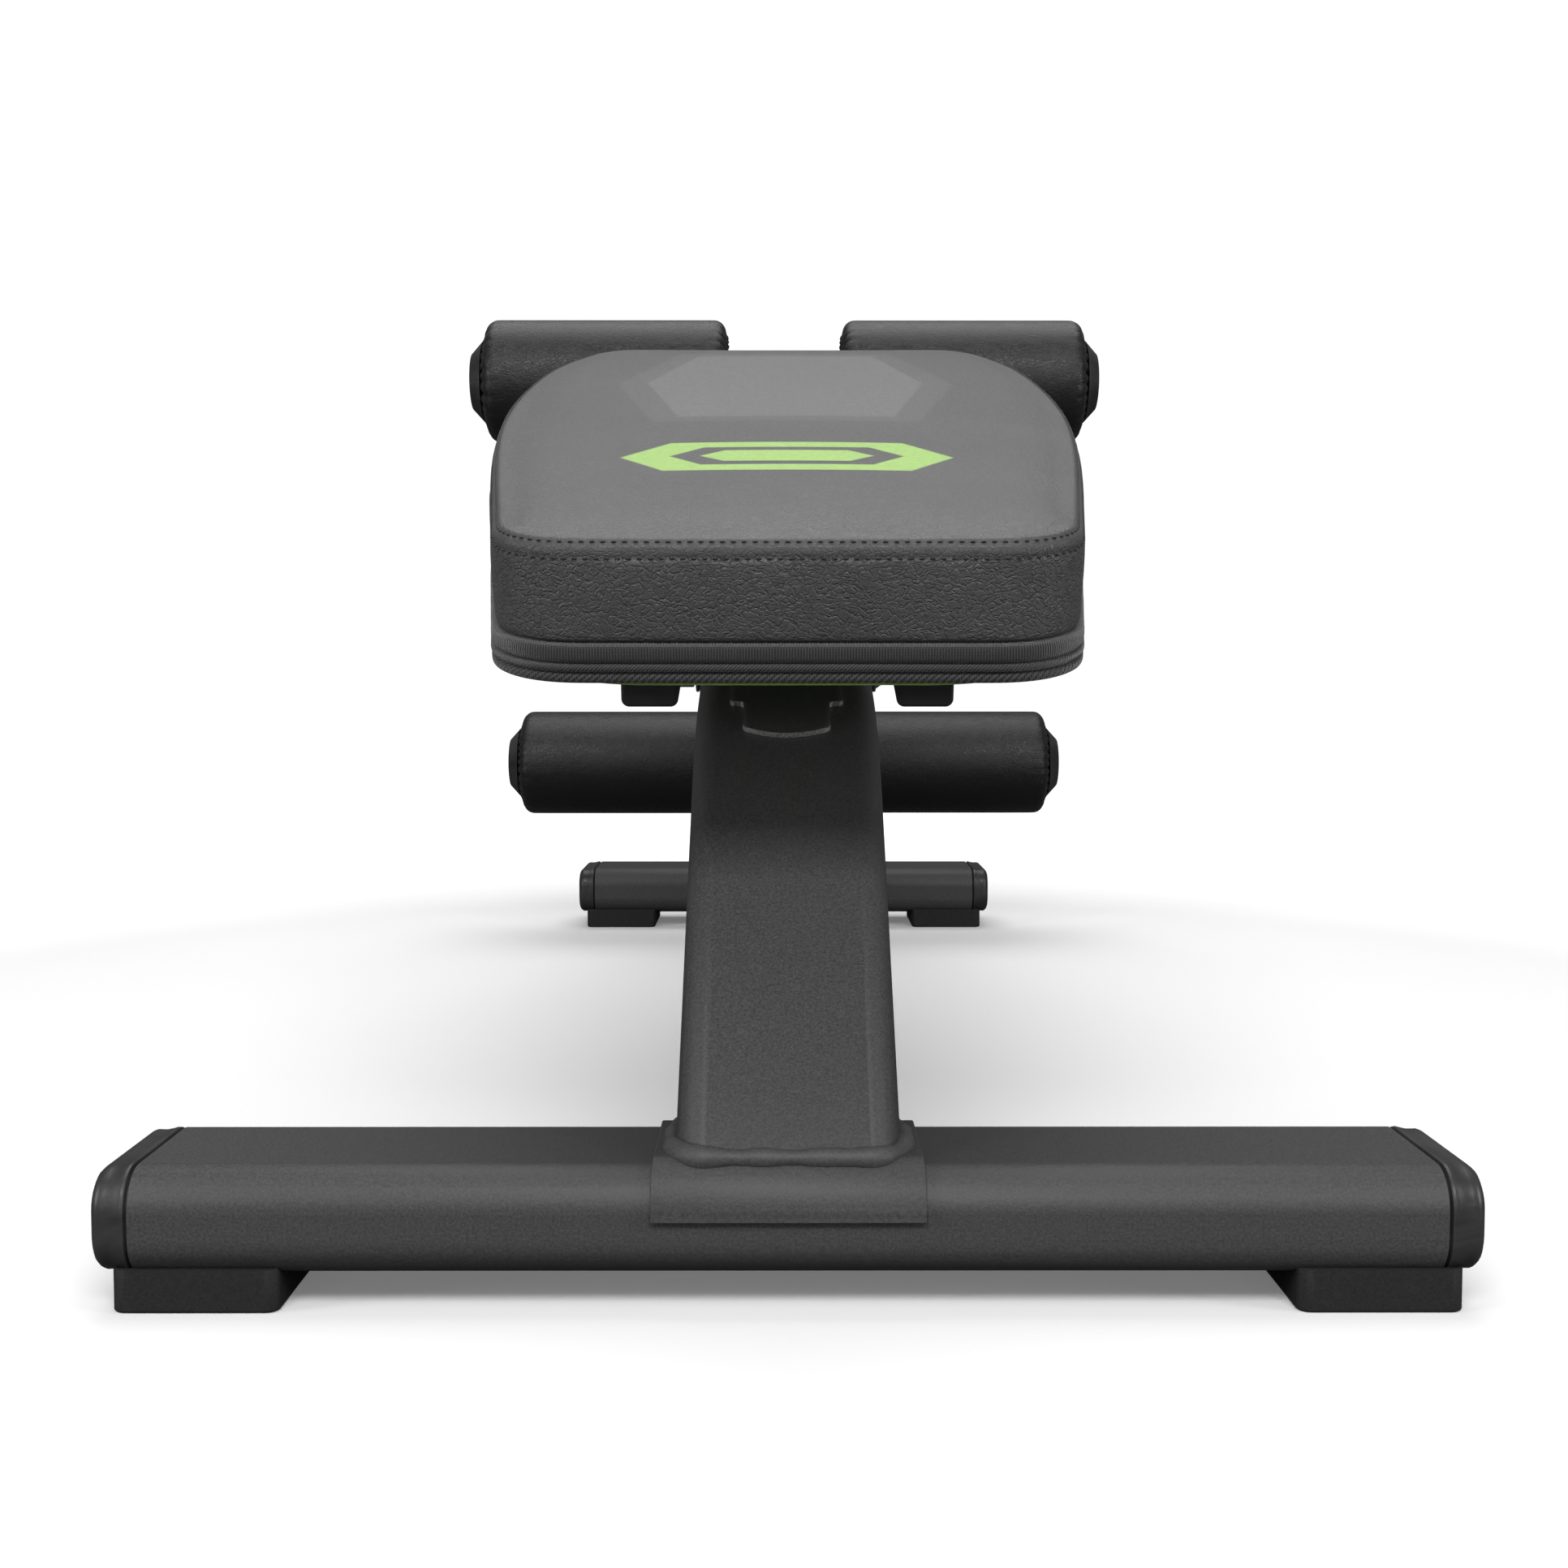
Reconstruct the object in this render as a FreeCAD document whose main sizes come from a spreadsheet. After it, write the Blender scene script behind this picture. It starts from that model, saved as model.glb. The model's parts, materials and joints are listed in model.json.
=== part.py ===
import FreeCAD, Part
import math
import os
import Sketcher
from FreeCAD import Placement, Rotation, Vector

# Decline sit-up bench: two stabiliser feet, a bent main tube, a leaning roller post,
# a tilting back pad and four foam rollers. Millimetres, +Z up, origin on the floor
# midway between the two feet; +Y runs from the head end to the roller end.

os.makedirs("parts", exist_ok=True)
doc = FreeCAD.newDocument("sit_up_bench")

DIMENSIONS = [
    # stabiliser feet
    ("rear_span", 600.0), ("front_span", 433.0), ("foot_pitch", 1227.0),
    ("tube_width", 100.0), ("tube_height", 47.0), ("tube_corner", 18.0), ("tube_wall", 2.5),
    ("cap_length", 17.0), ("cap_rounding", 7.0), ("cap_plug", 22.0),
    ("foot_width", 72.0), ("foot_depth", 94.0), ("foot_height", 15.0), ("foot_inset", 8.5),
    ("saddle_width", 118.0), ("saddle_plate", 3.0), ("saddle_drop", 21.0), ("saddle_bolt_x", 23.0),
    # bent main tube
    ("leg_angle", 41.0), ("leg_shift", 4.0), ("leg_bend", 250.0), ("leg_corner", 14.0),
    ("leg_overrun", 50.0), ("tube_run", 1190.2), ("tongue_width", 47.0), ("tongue_shoulder", 62.0),
    # deck: everything that lies along the tilted pad and beam
    ("deck_angle", 15.5), ("hinge_height", 425.0), ("hinge_forward", 18.1), ("beam_drop", 68.1),
    ("tilt_range", 15.5), ("hinge_radius", 6.0),
    # roller post
    ("post_angle", 40.0), ("knee_height", 522.0), ("knee_forward", 222.5),
    ("roller_spacing", 449.5), ("post_width", 72.0), ("post_depth", 50.0), ("post_corner", 10.0),
    ("post_top", 62.0), ("post_plate", 6.0), ("slider_width", 58.0), ("slider_depth", 36.0),
    ("slider_corner", 8.0), ("slider_length", 285.0), ("clamp_level", 100.0),
    # rollers and axles
    ("roller_diameter", 104.0), ("roller_length", 211.0), ("cover_thick", 1.6),
    ("cover_hem", 3.0), ("axle_radius", 12.5), ("axle_wall", 2.0), ("knee_gap", 94.6),
    ("ankle_gap", 114.2), ("axle_cap_length", 10.0),
    # back pad
    ("pad_length", 723.0), ("pad_behind", 640.0), ("pad_clearance", 14.2),
    ("board_thick", 20.7), ("board_inset", 6.0), ("board_corner", 78.0),
    ("near_corner", 42.0), ("far_corner", 38.0), ("cushion_thick", 48.6), ("pad_skin", 2.0),
    ("band_height", 18.4), ("band_proud", 1.5),
    ("rail_inner", 53.5), ("rail_width", 28.0), ("rail_height", 30.0), ("rail_wall", 2.0),
    ("rail_length", 590.0), ("rail_overhang", 25.0),
    ("strap_length", 60.0), ("strap_thick", 5.0), ("strap_screw_x", 35.0),
    ("strap_near", 473.6), ("strap_far", 89.6),
    # tilt clamp
    ("clamp_back", 311.0), ("sector_plate", 3.0), ("sector_half", 14.0), ("slot_radius", 6.4),
    ("clamp_radius", 6.0),
]

sheet = doc.addObject("Spreadsheet::Sheet", "dims")
for row, (alias, number) in enumerate(DIMENSIONS, start=1):
    sheet.set(f"A{row}", alias)
    sheet.set(f"B{row}", str(number))
    sheet.setAlias(f"B{row}", alias)
doc.recompute()

RUNNING = 0.05          # radial clearance of a turning fit
LOOSE = 0.25            # radial clearance of a bolt in its hole
TONGUE_ARC = (9.4, 16.6)      # degrees round the leg's bend, counted from its lower end
SHOULDER_ARC = (16.5, 25.5)
SECTOR_TOP = -2.2             # degrees above the hinge's level that a quadrant starts at
ALONG_X = Rotation(Vector(1, 1, 1), 120)      # local Z to +X, local X to +Y, local Y to +Z
ALONG_Y = Rotation(Vector(1, 0, 0), -90)      # local Z to +Y
UPRIGHT = Rotation()


def value(expression):
    """Return the number that a size expression gives."""
    if isinstance(expression, (int, float)):
        return float(expression)
    return float(sheet.evalExpression(expression))


def d(alias):
    """Return one driving dimension."""
    return value("dims." + alias)


def bind(thing, prop, expression):
    """Tie a property to a sheet expression, or set it when it is a plain number."""
    if isinstance(expression, str):
        thing.setExpression(prop, expression)
    else:
        setattr(thing, prop, expression)


# ---------------------------------------------------------------- reference frames
STABILISER_Z = d("foot_height") + d("tube_height") / 2
SADDLE_TOP = d("foot_height") + d("tube_height") + d("saddle_plate")
DECK = Placement(Vector(0, d("hinge_forward"), d("hinge_height")),
                 Rotation(Vector(1, 0, 0), d("deck_angle")))
POST = Placement(Vector(0, d("knee_forward"), d("knee_height")),
                 Rotation(Vector(1, 0, 0), d("post_angle")))


def deck(x, y, z, turn=UPRIGHT):
    """Place something in the deck frame, whose origin is the pad's hinge axis."""
    return DECK.multiply(Placement(Vector(x, y, z), turn))


def post(x, y, z, turn=UPRIGHT):
    """Place something in the post frame, whose origin is the knee axle."""
    return POST.multiply(Placement(Vector(x, y, z), turn))


def floor(x, y, z, turn=UPRIGHT):
    """Place something in the floor frame."""
    return Placement(Vector(x, y, z), turn)


def leg_start():
    """Return the lower end of the leg's centreline, inside the rear stabiliser."""
    angle = math.radians(d("leg_angle"))
    direction = Vector(0, math.cos(angle), math.sin(angle))
    on_foot = Vector(0, -d("foot_pitch") / 2 - d("leg_shift"), d("foot_height") + d("tube_height"))
    return on_foot - direction * d("leg_overrun"), direction


def leg_runs():
    """Return the lengths of the leg's straight run up to the bend and of the beam after it."""
    start, direction = leg_start()
    beam_point = deck(0, 0, -d("beam_drop")).Base
    beam_way = DECK.Rotation.multVec(Vector(0, 1, 0))
    across = direction.cross(beam_way).x
    to_corner = (beam_point - start).cross(beam_way).x / across
    tangent = d("leg_bend") * math.tan(math.radians((d("leg_angle") - d("deck_angle")) / 2))
    return to_corner - tangent, d("tube_run") - to_corner - tangent


def beam_end():
    """Return the deck's y where the beam's centreline meets the post's mounting plate."""
    face = -(d("post_depth") / 2 + d("post_plate"))
    post_way = POST.Rotation.multVec(Vector(0, 1, 0))
    beam_way = DECK.Rotation.multVec(Vector(0, 1, 0))
    offset = (deck(0, 0, -d("beam_drop")).Base - POST.Base).dot(post_way)
    return (face - offset) / beam_way.dot(post_way)


# ---------------------------------------------------------------- sketch and feature helpers
def new_sketch(body, plane, offset=Placement()):
    """Attach a new sketch to one of a body's own origin planes."""
    sketch = body.newObject("Sketcher::SketchObject", body.Name + "_sketch")
    datum = [f for f in body.Origin.OriginFeatures if f.Role == plane][0]
    sketch.AttachmentSupport = [(datum, "")]
    sketch.MapMode = "FlatFace"
    sketch.AttachmentOffset = offset
    return sketch


def name_size(sketch, constraint, name, expression):
    """Add a dimension to a sketch and bind it to the sheet."""
    index = sketch.addConstraint(constraint)
    sketch.renameConstraint(index, name)
    if isinstance(expression, str):
        sketch.setExpression("Constraints." + name, expression)


def rounded_rectangle(sketch, tag, width, height, corner):
    """Draw a centred rectangle with round corners, its three sizes bound to the sheet."""
    w, h, r = value(width) / 2, value(height) / 2, value(corner)
    base = sketch.GeometryCount
    ends = [((r - w, -h), (w - r, -h)), ((w, r - h), (w, h - r)),
            ((w - r, h), (r - w, h)), ((-w, h - r), (-w, r - h))]
    centres = [(w - r, r - h), (w - r, h - r), (r - w, h - r), (r - w, r - h)]
    for (a, b) in ends:
        sketch.addGeometry(Part.LineSegment(Vector(*a, 0), Vector(*b, 0)))
    for quarter, (cx, cy) in enumerate(centres):
        circle = Part.Circle(Vector(cx, cy, 0), Vector(0, 0, 1), r)
        start = (quarter - 1) * math.pi / 2
        sketch.addGeometry(Part.ArcOfCircle(circle, start, start + math.pi / 2))
    for side in range(4):
        line, arc, following = base + side, base + 4 + side, base + (side + 1) % 4
        sketch.addConstraint(Sketcher.Constraint("Tangent", line, 2, arc, 1))
        sketch.addConstraint(Sketcher.Constraint("Tangent", arc, 2, following, 1))
        level = "Horizontal" if side % 2 == 0 else "Vertical"
        sketch.addConstraint(Sketcher.Constraint(level, line))
    for side in range(1, 4):
        sketch.addConstraint(Sketcher.Constraint("Equal", base + 4, base + 4 + side))
    sketch.addConstraint(Sketcher.Constraint("Symmetric", base + 5, 3, base + 7, 3, -1, 1))
    name_size(sketch, Sketcher.Constraint("Radius", base + 4, r), tag + "_corner", corner)
    name_size(sketch, Sketcher.Constraint("DistanceX", base + 3, 1, base + 1, 1, 2 * w),
              tag + "_width", width)
    name_size(sketch, Sketcher.Constraint("DistanceY", base, 1, base + 2, 2, 2 * h),
              tag + "_height", height)


def centred_rectangle(sketch, tag, width, height):
    """Draw a centred rectangle bound to the sheet."""
    w, h = value(width) / 2, value(height) / 2
    base = sketch.GeometryCount
    corners = [(-w, -h), (w, -h), (w, h), (-w, h)]
    for side in range(4):
        a, b = corners[side], corners[(side + 1) % 4]
        sketch.addGeometry(Part.LineSegment(Vector(*a, 0), Vector(*b, 0)))
    for side in range(4):
        following = base + (side + 1) % 4
        sketch.addConstraint(Sketcher.Constraint("Coincident", base + side, 2, following, 1))
        level = "Horizontal" if side % 2 == 0 else "Vertical"
        sketch.addConstraint(Sketcher.Constraint(level, base + side))
    sketch.addConstraint(Sketcher.Constraint("Symmetric", base, 1, base + 1, 2, -1, 1))
    name_size(sketch, Sketcher.Constraint("DistanceX", base, 1, base, 2, 2 * w),
              tag + "_width", width)
    name_size(sketch, Sketcher.Constraint("DistanceY", base + 1, 1, base + 1, 2, 2 * h),
              tag + "_height", height)


def circle(sketch, tag, x, y, radius):
    """Draw a circle at a fixed place with its radius bound to the sheet."""
    index = sketch.addGeometry(Part.Circle(Vector(x, y, 0), Vector(0, 0, 1), value(radius)))
    name_size(sketch, Sketcher.Constraint("Radius", index, value(radius)), tag + "_radius", radius)
    sketch.addConstraint(Sketcher.Constraint("DistanceX", -1, 1, index, 3, x))
    sketch.addConstraint(Sketcher.Constraint("DistanceY", -1, 1, index, 3, y))


def extrude(body, kind, sketch, length, symmetric=False, backwards=False):
    """Pad or pocket a sketch and make the result the body's tip."""
    feature = body.newObject("PartDesign::" + kind, body.Name + "_" + kind.lower())
    feature.Profile = sketch
    feature.SideType = "Symmetric" if symmetric else "One side"
    feature.Reversed = backwards
    bind(feature, "Length", length)
    sketch.Visibility = False
    doc.recompute()
    return feature


def pocket(body, sketch, length):
    """Cut symmetrically through a body and make sure that something was removed."""
    before = body.Shape.Volume
    extrude(body, "Pocket", sketch, length, symmetric=True)
    if body.Shape.Volume > before - 1:
        raise RuntimeError(body.Label + ": the pocket removed nothing")


def round_edges(body, radius, chosen):
    """Fillet the body's edges for which chosen(edge) is true."""
    names = [f"Edge{i + 1}" for i, edge in enumerate(body.Shape.Edges) if chosen(edge)]
    base = body.Tip
    feature = body.newObject("PartDesign::Fillet", body.Name + "_fillet")
    feature.Base = (base, names)
    bind(feature, "Radius", radius)
    doc.recompute()


def at_level(level):
    """Choose the edges that lie wholly at one local height."""
    return lambda edge: (abs(edge.CenterOfMass.z - level) < 1e-4
                         and all(abs(vertex.Z - level) < 1e-4 for vertex in edge.Vertexes))


def tube_body(label, length, width, height, corner, wall, placement):
    """Make a straight rounded rectangular tube, centred, along its local Z."""
    body = doc.addObject("PartDesign::Body", label)
    sketch = new_sketch(body, "XY_Plane")
    rounded_rectangle(sketch, "outer", width, height, corner)
    bore = [f"{size} - 2 * {wall}" for size in (width, height)]
    rounded_rectangle(sketch, "inner", bore[0], bore[1], f"{corner} - {wall}")
    extrude(body, "Pad", sketch, length, symmetric=True)
    body.Placement = placement
    return body


def box(label, length, width, height, placement):
    """Make a box with its corner at the placement."""
    solid = doc.addObject("Part::Box", label)
    bind(solid, "Length", length)
    bind(solid, "Width", width)
    bind(solid, "Height", height)
    solid.Placement = placement
    return solid


def rod(label, radius, height, placement, sweep=360.0):
    """Make a cylinder along its local Z."""
    solid = doc.addObject("Part::Cylinder", label)
    bind(solid, "Radius", radius)
    bind(solid, "Height", height)
    solid.Angle = sweep
    solid.Placement = placement
    return solid


def cone(label, lower, upper, height, placement):
    """Make a truncated cone along its local Z."""
    solid = doc.addObject("Part::Cone", label)
    bind(solid, "Radius1", lower)
    bind(solid, "Radius2", upper)
    bind(solid, "Height", height)
    solid.Placement = placement
    return solid


def hexagon(label, radius, height, placement):
    """Make a hexagonal prism along its local Z."""
    solid = doc.addObject("Part::Prism", label)
    solid.Polygon = 6
    bind(solid, "Circumradius", radius)
    bind(solid, "Height", height)
    solid.Placement = placement
    return solid


def fuse(label, solids):
    """Join solids into one."""
    joined = doc.addObject("Part::MultiFuse", label)
    joined.Shapes = solids
    joined.Refine = True
    return joined


def cut(label, base, tools):
    """Remove the tools from a solid."""
    result = doc.addObject("Part::Cut", label)
    result.Base = base
    result.Tool = tools[0] if len(tools) == 1 else fuse(label + "_tools", tools)
    result.Refine = True
    return result


def group(label, solids):
    """Keep separate identical pieces together in one node."""
    compound = doc.addObject("Part::Compound", label)
    compound.Links = solids
    return compound


def ring(label, outer, inner, height, placement):
    """Make a round tube along its local Z."""
    body = doc.addObject("PartDesign::Body", label)
    sketch = new_sketch(body, "XY_Plane")
    circle(sketch, "outer", 0, 0, outer)
    circle(sketch, "inner", 0, 0, inner)
    extrude(body, "Pad", sketch, height, symmetric=True)
    body.Placement = placement
    return body


# ---------------------------------------------------------------- stabiliser feet
def bolt_holes(body, radius, depth):
    """Drill the two saddle bolt holes down through a piece that lies along X."""
    sketch = new_sketch(body, "XZ_Plane")
    for side in (-1, 1):
        circle(sketch, "left" if side < 0 else "right", 0, side * d("saddle_bolt_x"), radius)
    pocket(body, sketch, depth)


def stabiliser(end, y, span):
    """Build one stabiliser: tube, end caps, rubber feet, saddle plate and its bolts."""
    centre = floor(0, y, STABILISER_Z, ALONG_X)
    tube = tube_body(end + "_stabiliser_tube", f"dims.{span} - 2 * dims.cap_length",
                     "dims.tube_width", "dims.tube_height", "dims.tube_corner",
                     "dims.tube_wall", centre)
    bolt_holes(tube, 5 + LOOSE, "dims.tube_height + 2")
    saddle = saddle_plate(end, centre)
    made = [tube, saddle, saddle_bolts(end, y)]
    half = d(span) / 2
    for side, word in ((-1, "left"), (1, "right")):
        made.append(end_cap(f"{end}_end_cap_{word}", side, y, half))
        foot_x = side * (half - d("foot_inset") - d("foot_width") / 2)
        made.append(rubber_foot(f"{end}_foot_{word}", foot_x, y))
    return made


def end_cap(label, side, y, half):
    """Build a tube end cap: a rounded shell outside and a plug that fills the tube's mouth."""
    body = doc.addObject("PartDesign::Body", label)
    shell = new_sketch(body, "XY_Plane")
    rounded_rectangle(shell, "shell", "dims.tube_width", "dims.tube_height", "dims.tube_corner")
    extrude(body, "Pad", shell, "dims.cap_length")
    plug = new_sketch(body, "XY_Plane")
    rounded_rectangle(plug, "plug", "dims.tube_width - 2 * dims.tube_wall",
                      "dims.tube_height - 2 * dims.tube_wall", "dims.tube_corner - dims.tube_wall")
    extrude(body, "Pad", plug, "dims.cap_plug", backwards=True)
    round_edges(body, "dims.cap_rounding", at_level(d("cap_length")))
    turn = ALONG_X if side > 0 else Rotation(Vector(0, 0, 1), 180).multiply(ALONG_X)
    body.Placement = floor(side * (half - d("cap_length")), y, STABILISER_Z, turn)
    return body


def rubber_foot(label, x, y):
    """Build a rubber foot that cradles the underside of the tube."""
    body = doc.addObject("PartDesign::Body", label)
    outline = new_sketch(body, "XY_Plane")
    rounded_rectangle(outline, "pad", "dims.foot_width", "dims.foot_depth", 6)
    extrude(body, "Pad", outline, "dims.foot_height + 4")
    tube_centre = Placement(Vector(0, STABILISER_Z, 0), Rotation())
    cradle = new_sketch(body, "YZ_Plane", tube_centre)
    rounded_rectangle(cradle, "tube", "dims.tube_width", "dims.tube_height", "dims.tube_corner")
    pocket(body, cradle, "dims.foot_width + 2")
    round_edges(body, 1.5, at_level(0))
    body.Placement = floor(x, y, 0)
    return body


def saddle_plate(end, centre):
    """Build the bent plate that straddles the tube where the leg or post is welded on."""
    body = doc.addObject("PartDesign::Body", end + "_saddle_plate")
    strip = new_sketch(body, "XY_Plane")
    rounded_rectangle(strip, "outer", "dims.tube_width + 2 * dims.saddle_plate",
                      "dims.tube_height + 2 * dims.saddle_plate",
                      "dims.tube_corner + dims.saddle_plate")
    rounded_rectangle(strip, "inner", "dims.tube_width", "dims.tube_height", "dims.tube_corner")
    extrude(body, "Pad", strip, "dims.saddle_width", symmetric=True)
    below = new_sketch(body, "XY_Plane", Placement(Vector(0, -d("saddle_drop"), 0), Rotation()))
    centred_rectangle(below, "below", "dims.tube_width + 20", "dims.tube_height")
    pocket(body, below, "dims.saddle_width + 2")
    bolt_holes(body, 5 + LOOSE, "dims.tube_height + 10")
    body.Placement = centre
    return body


def saddle_bolts(end, y):
    """Build the two domed bolts under the tube, with their nuts on top of the saddle."""
    bolts = []
    for side, word in ((-1, "left"), (1, "right")):
        x = side * d("saddle_bolt_x")
        name = f"{end}_bolt_{word}"
        head = cone(name + "_head", 6, 10, 6, floor(x, y, d("foot_height") - 6))
        shank = rod(name + "_shank", 5, SADDLE_TOP + 10 - d("foot_height"), floor(x, y, d("foot_height")))
        nut = hexagon(name + "_nut", 9, 8, floor(x, y, SADDLE_TOP))
        bolts.append(fuse(name, [head, shank, nut]))
    return group(end + "_saddle_bolts", bolts)


# ---------------------------------------------------------------- main frame
def leg_path(body, leg, beam):
    """Draw the centreline of the bent tube: leg, bend, beam, in the body's YZ plane."""
    turn = math.radians(d("leg_angle") - d("deck_angle"))
    bend = d("leg_bend")
    sketch = new_sketch(body, "YZ_Plane")
    after = Vector(bend * (1 - math.cos(turn)), leg + bend * math.sin(turn), 0)
    far = after + Vector(math.sin(turn), math.cos(turn), 0) * beam
    sketch.addGeometry(Part.LineSegment(Vector(0, 0, 0), Vector(0, leg, 0)))
    arc = Part.Circle(Vector(bend, leg, 0), Vector(0, 0, 1), bend)
    sketch.addGeometry(Part.ArcOfCircle(arc, math.pi - turn, math.pi))
    sketch.addGeometry(Part.LineSegment(after, far))
    sketch.addConstraint(Sketcher.Constraint("Coincident", 0, 1, -1, 1))
    sketch.addConstraint(Sketcher.Constraint("Vertical", 0))
    sketch.addConstraint(Sketcher.Constraint("Tangent", 0, 2, 1, 2))
    sketch.addConstraint(Sketcher.Constraint("Tangent", 1, 1, 2, 1))
    name_size(sketch, Sketcher.Constraint("Radius", 1, bend), "bend", "dims.leg_bend")
    sketch.addConstraint(Sketcher.Constraint("Distance", 0, leg))
    sketch.addConstraint(Sketcher.Constraint("Distance", 2, beam))
    sketch.addConstraint(Sketcher.Constraint("Angle", 0, 2, 2, 1, math.pi - turn))
    return sketch


def pipe(body, kind, sketch, path):
    """Sweep a section along the path, adding or removing material."""
    feature = body.newObject("PartDesign::" + kind, body.Name + "_" + kind.lower())
    feature.Profile = sketch
    feature.Spine = (path, ["Edge1", "Edge2", "Edge3"])
    doc.recompute()


def x_hole(name, radius, y, z):
    """Make a drill along X through the whole width of the beam, in the deck frame."""
    return rod(name, radius, "2 * dims.tube_width", deck(-d("tube_width"), y, z, ALONG_X))


def post_side(name):
    """Make the block that trims the beam at the post's mounting plate."""
    face = -(d("post_depth") / 2 + d("post_plate"))
    return box(name, 300, 600, 800, post(-150, face, -500))


def floor_block(name, y):
    """Make the block that trims a tube flush with the top of a saddle plate."""
    return box(name, 300, 400, 400, floor(-150, y - 200, SADDLE_TOP - 400))


def beam_bolt_places():
    """Return the deck's y of the two bolts that hold the beam on the post's stub."""
    return [beam_end() - back for back in (28, 62)]


def main_frame_tube():
    """Build the bent tube that is both the rear leg and the main beam."""
    start, _direction = leg_start()
    leg, beam = leg_runs()
    body = doc.addObject("PartDesign::Body", "bent_tube")
    path = leg_path(body, leg, beam)
    outer = new_sketch(body, "XY_Plane")
    rounded_rectangle(outer, "outer", "dims.tube_width", "dims.tube_height", "dims.leg_corner")
    pipe(body, "AdditivePipe", outer, path)
    inner = new_sketch(body, "XY_Plane")
    rounded_rectangle(inner, "inner", "dims.tube_width - 2 * dims.tube_wall",
                      "dims.tube_height - 2 * dims.tube_wall", "dims.leg_corner - dims.tube_wall")
    pipe(body, "SubtractivePipe", inner, path)
    body.Placement = Placement(start, Rotation(Vector(1, 0, 0), d("leg_angle") - 90))
    drills = [x_hole(f"beam_drill_{i}", 5 + LOOSE, y, -d("beam_drop"))
              for i, y in enumerate(beam_bolt_places())]
    drills.append(x_hole("clamp_drill", "dims.clamp_radius + 0.25", -d("clamp_back"), -d("beam_drop")))
    trims = [floor_block("leg_trim", start.y), post_side("beam_trim")]
    return cut("main_frame_tube", body, drills + trims)


def leg_tongue_plate():
    """Build the thin plate with a tongue that lies on the outside of the leg's bend."""
    start, direction = leg_start()
    leg, _beam = leg_runs()
    surface = d("leg_bend") + d("tube_height") / 2
    under = Vector(0, math.sin(math.radians(d("leg_angle"))), -math.cos(math.radians(d("leg_angle"))))
    centre = start + direction * leg + under * d("leg_bend")
    strips = []
    for name, width, (first, last) in (("tongue", "tongue_width", TONGUE_ARC),
                                       ("shoulder", "tongue_shoulder", SHOULDER_ARC)):
        turn = Rotation(Vector(1, 0, 0), 90 + d("leg_angle") - last).multiply(ALONG_X)
        base = Placement(centre - Vector(d(width) / 2, 0, 0), turn)
        strips.append(rod(name + "_sector", surface + d("saddle_plate"), "dims." + width, base, last - first))
    hollow = Placement(centre - Vector(d("tube_width"), 0, 0), ALONG_X)
    core = rod("tongue_core", surface, "2 * dims.tube_width", hollow)
    return cut("leg_tongue_plate", fuse("tongue_strips", strips), [core])


def hinge_bracket():
    """Build the U-bracket on the beam that carries the pad's hinge pin."""
    beam_top = d("tube_height") / 2 - d("beam_drop")
    half, thick, reach = 33, 5, 13
    parts = [box("hinge_base", 2 * half, 44, 4, deck(-half, -22, beam_top))]
    for side, x in (("left", -half), ("right", half - thick)):
        parts.append(box(f"hinge_ear_{side}", thick, 2 * reach, -beam_top, deck(x, -reach, beam_top)))
        parts.append(rod(f"hinge_ear_top_{side}", reach, thick, deck(x, 0, 0, ALONG_X)))
    bore = rod("hinge_bore", "dims.hinge_radius", 4 * half, deck(-2 * half, 0, 0, ALONG_X))
    return cut("hinge_bracket", fuse("hinge_ears", parts), [bore])


def hinge_pin():
    """Build the hinge pin with a domed head at each end."""
    reach = d("rail_inner") + d("rail_width") + 2.3
    shank = rod("hinge_shank", "dims.hinge_radius", 2 * reach, deck(-reach, 0, 0, ALONG_X))
    right = cone("hinge_head_right", 10, 7, 6, deck(reach, 0, 0, ALONG_X))
    left = cone("hinge_head_left", 7, 10, 6, deck(-reach - 6, 0, 0, ALONG_X))
    return fuse("hinge_pin", [shank, right, left])


def post_mount_bracket():
    """Build the plate on the post and the stub that slides into the beam's end."""
    length = 140
    stub = tube_body("post_stub", length, "dims.tube_width - 2 * dims.tube_wall - 0.6",
                     "dims.tube_height - 2 * dims.tube_wall - 0.6",
                     "dims.leg_corner - dims.tube_wall - 0.3", "dims.tube_wall + 1.5",
                     deck(0, beam_end() - 85 + length / 2, -d("beam_drop"), ALONG_Y))
    drills = [x_hole(f"stub_drill_{i}", 5 + LOOSE, y, -d("beam_drop"))
              for i, y in enumerate(beam_bolt_places())]
    trimmed = cut("post_stub_trimmed", stub, [post_side("stub_trim")] + drills)
    level = beam_level_on_post()
    plate = box("post_plate", 96, "dims.post_plate", 90,
                post(-48, -d("post_depth") / 2 - d("post_plate"), level - 45))
    return fuse("post_mount_bracket", [trimmed, plate])


def beam_level_on_post():
    """Return the post's local z where the beam's centreline arrives."""
    arrival = deck(0, beam_end(), -d("beam_drop")).Base
    return POST.inverse().multVec(arrival).z


def beam_post_bolts():
    """Build the two through bolts of the beam's end, each with head, shank and nut."""
    bolts = []
    half = d("tube_width") / 2
    for i, y in enumerate(beam_bolt_places()):
        z = -d("beam_drop")
        shank = rod(f"beam_bolt_shank_{i}", 5, 2 * half + 14, deck(-half - 2, y, z, ALONG_X))
        head = hexagon(f"beam_bolt_head_{i}", 9.8, 6.5, deck(-half - 8.5, y, z, ALONG_X))
        left = rod(f"beam_bolt_washer_left_{i}", 12, 2, deck(-half - 2, y, z, ALONG_X))
        right = rod(f"beam_bolt_washer_right_{i}", 12, 2, deck(half, y, z, ALONG_X))
        nut = hexagon(f"beam_bolt_nut_{i}", 9.8, 8, deck(half + 2, y, z, ALONG_X))
        bolts.append(fuse(f"beam_bolt_{i}", [head, left, shank, right, nut]))
    return group("beam_post_bolts", bolts)


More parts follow.
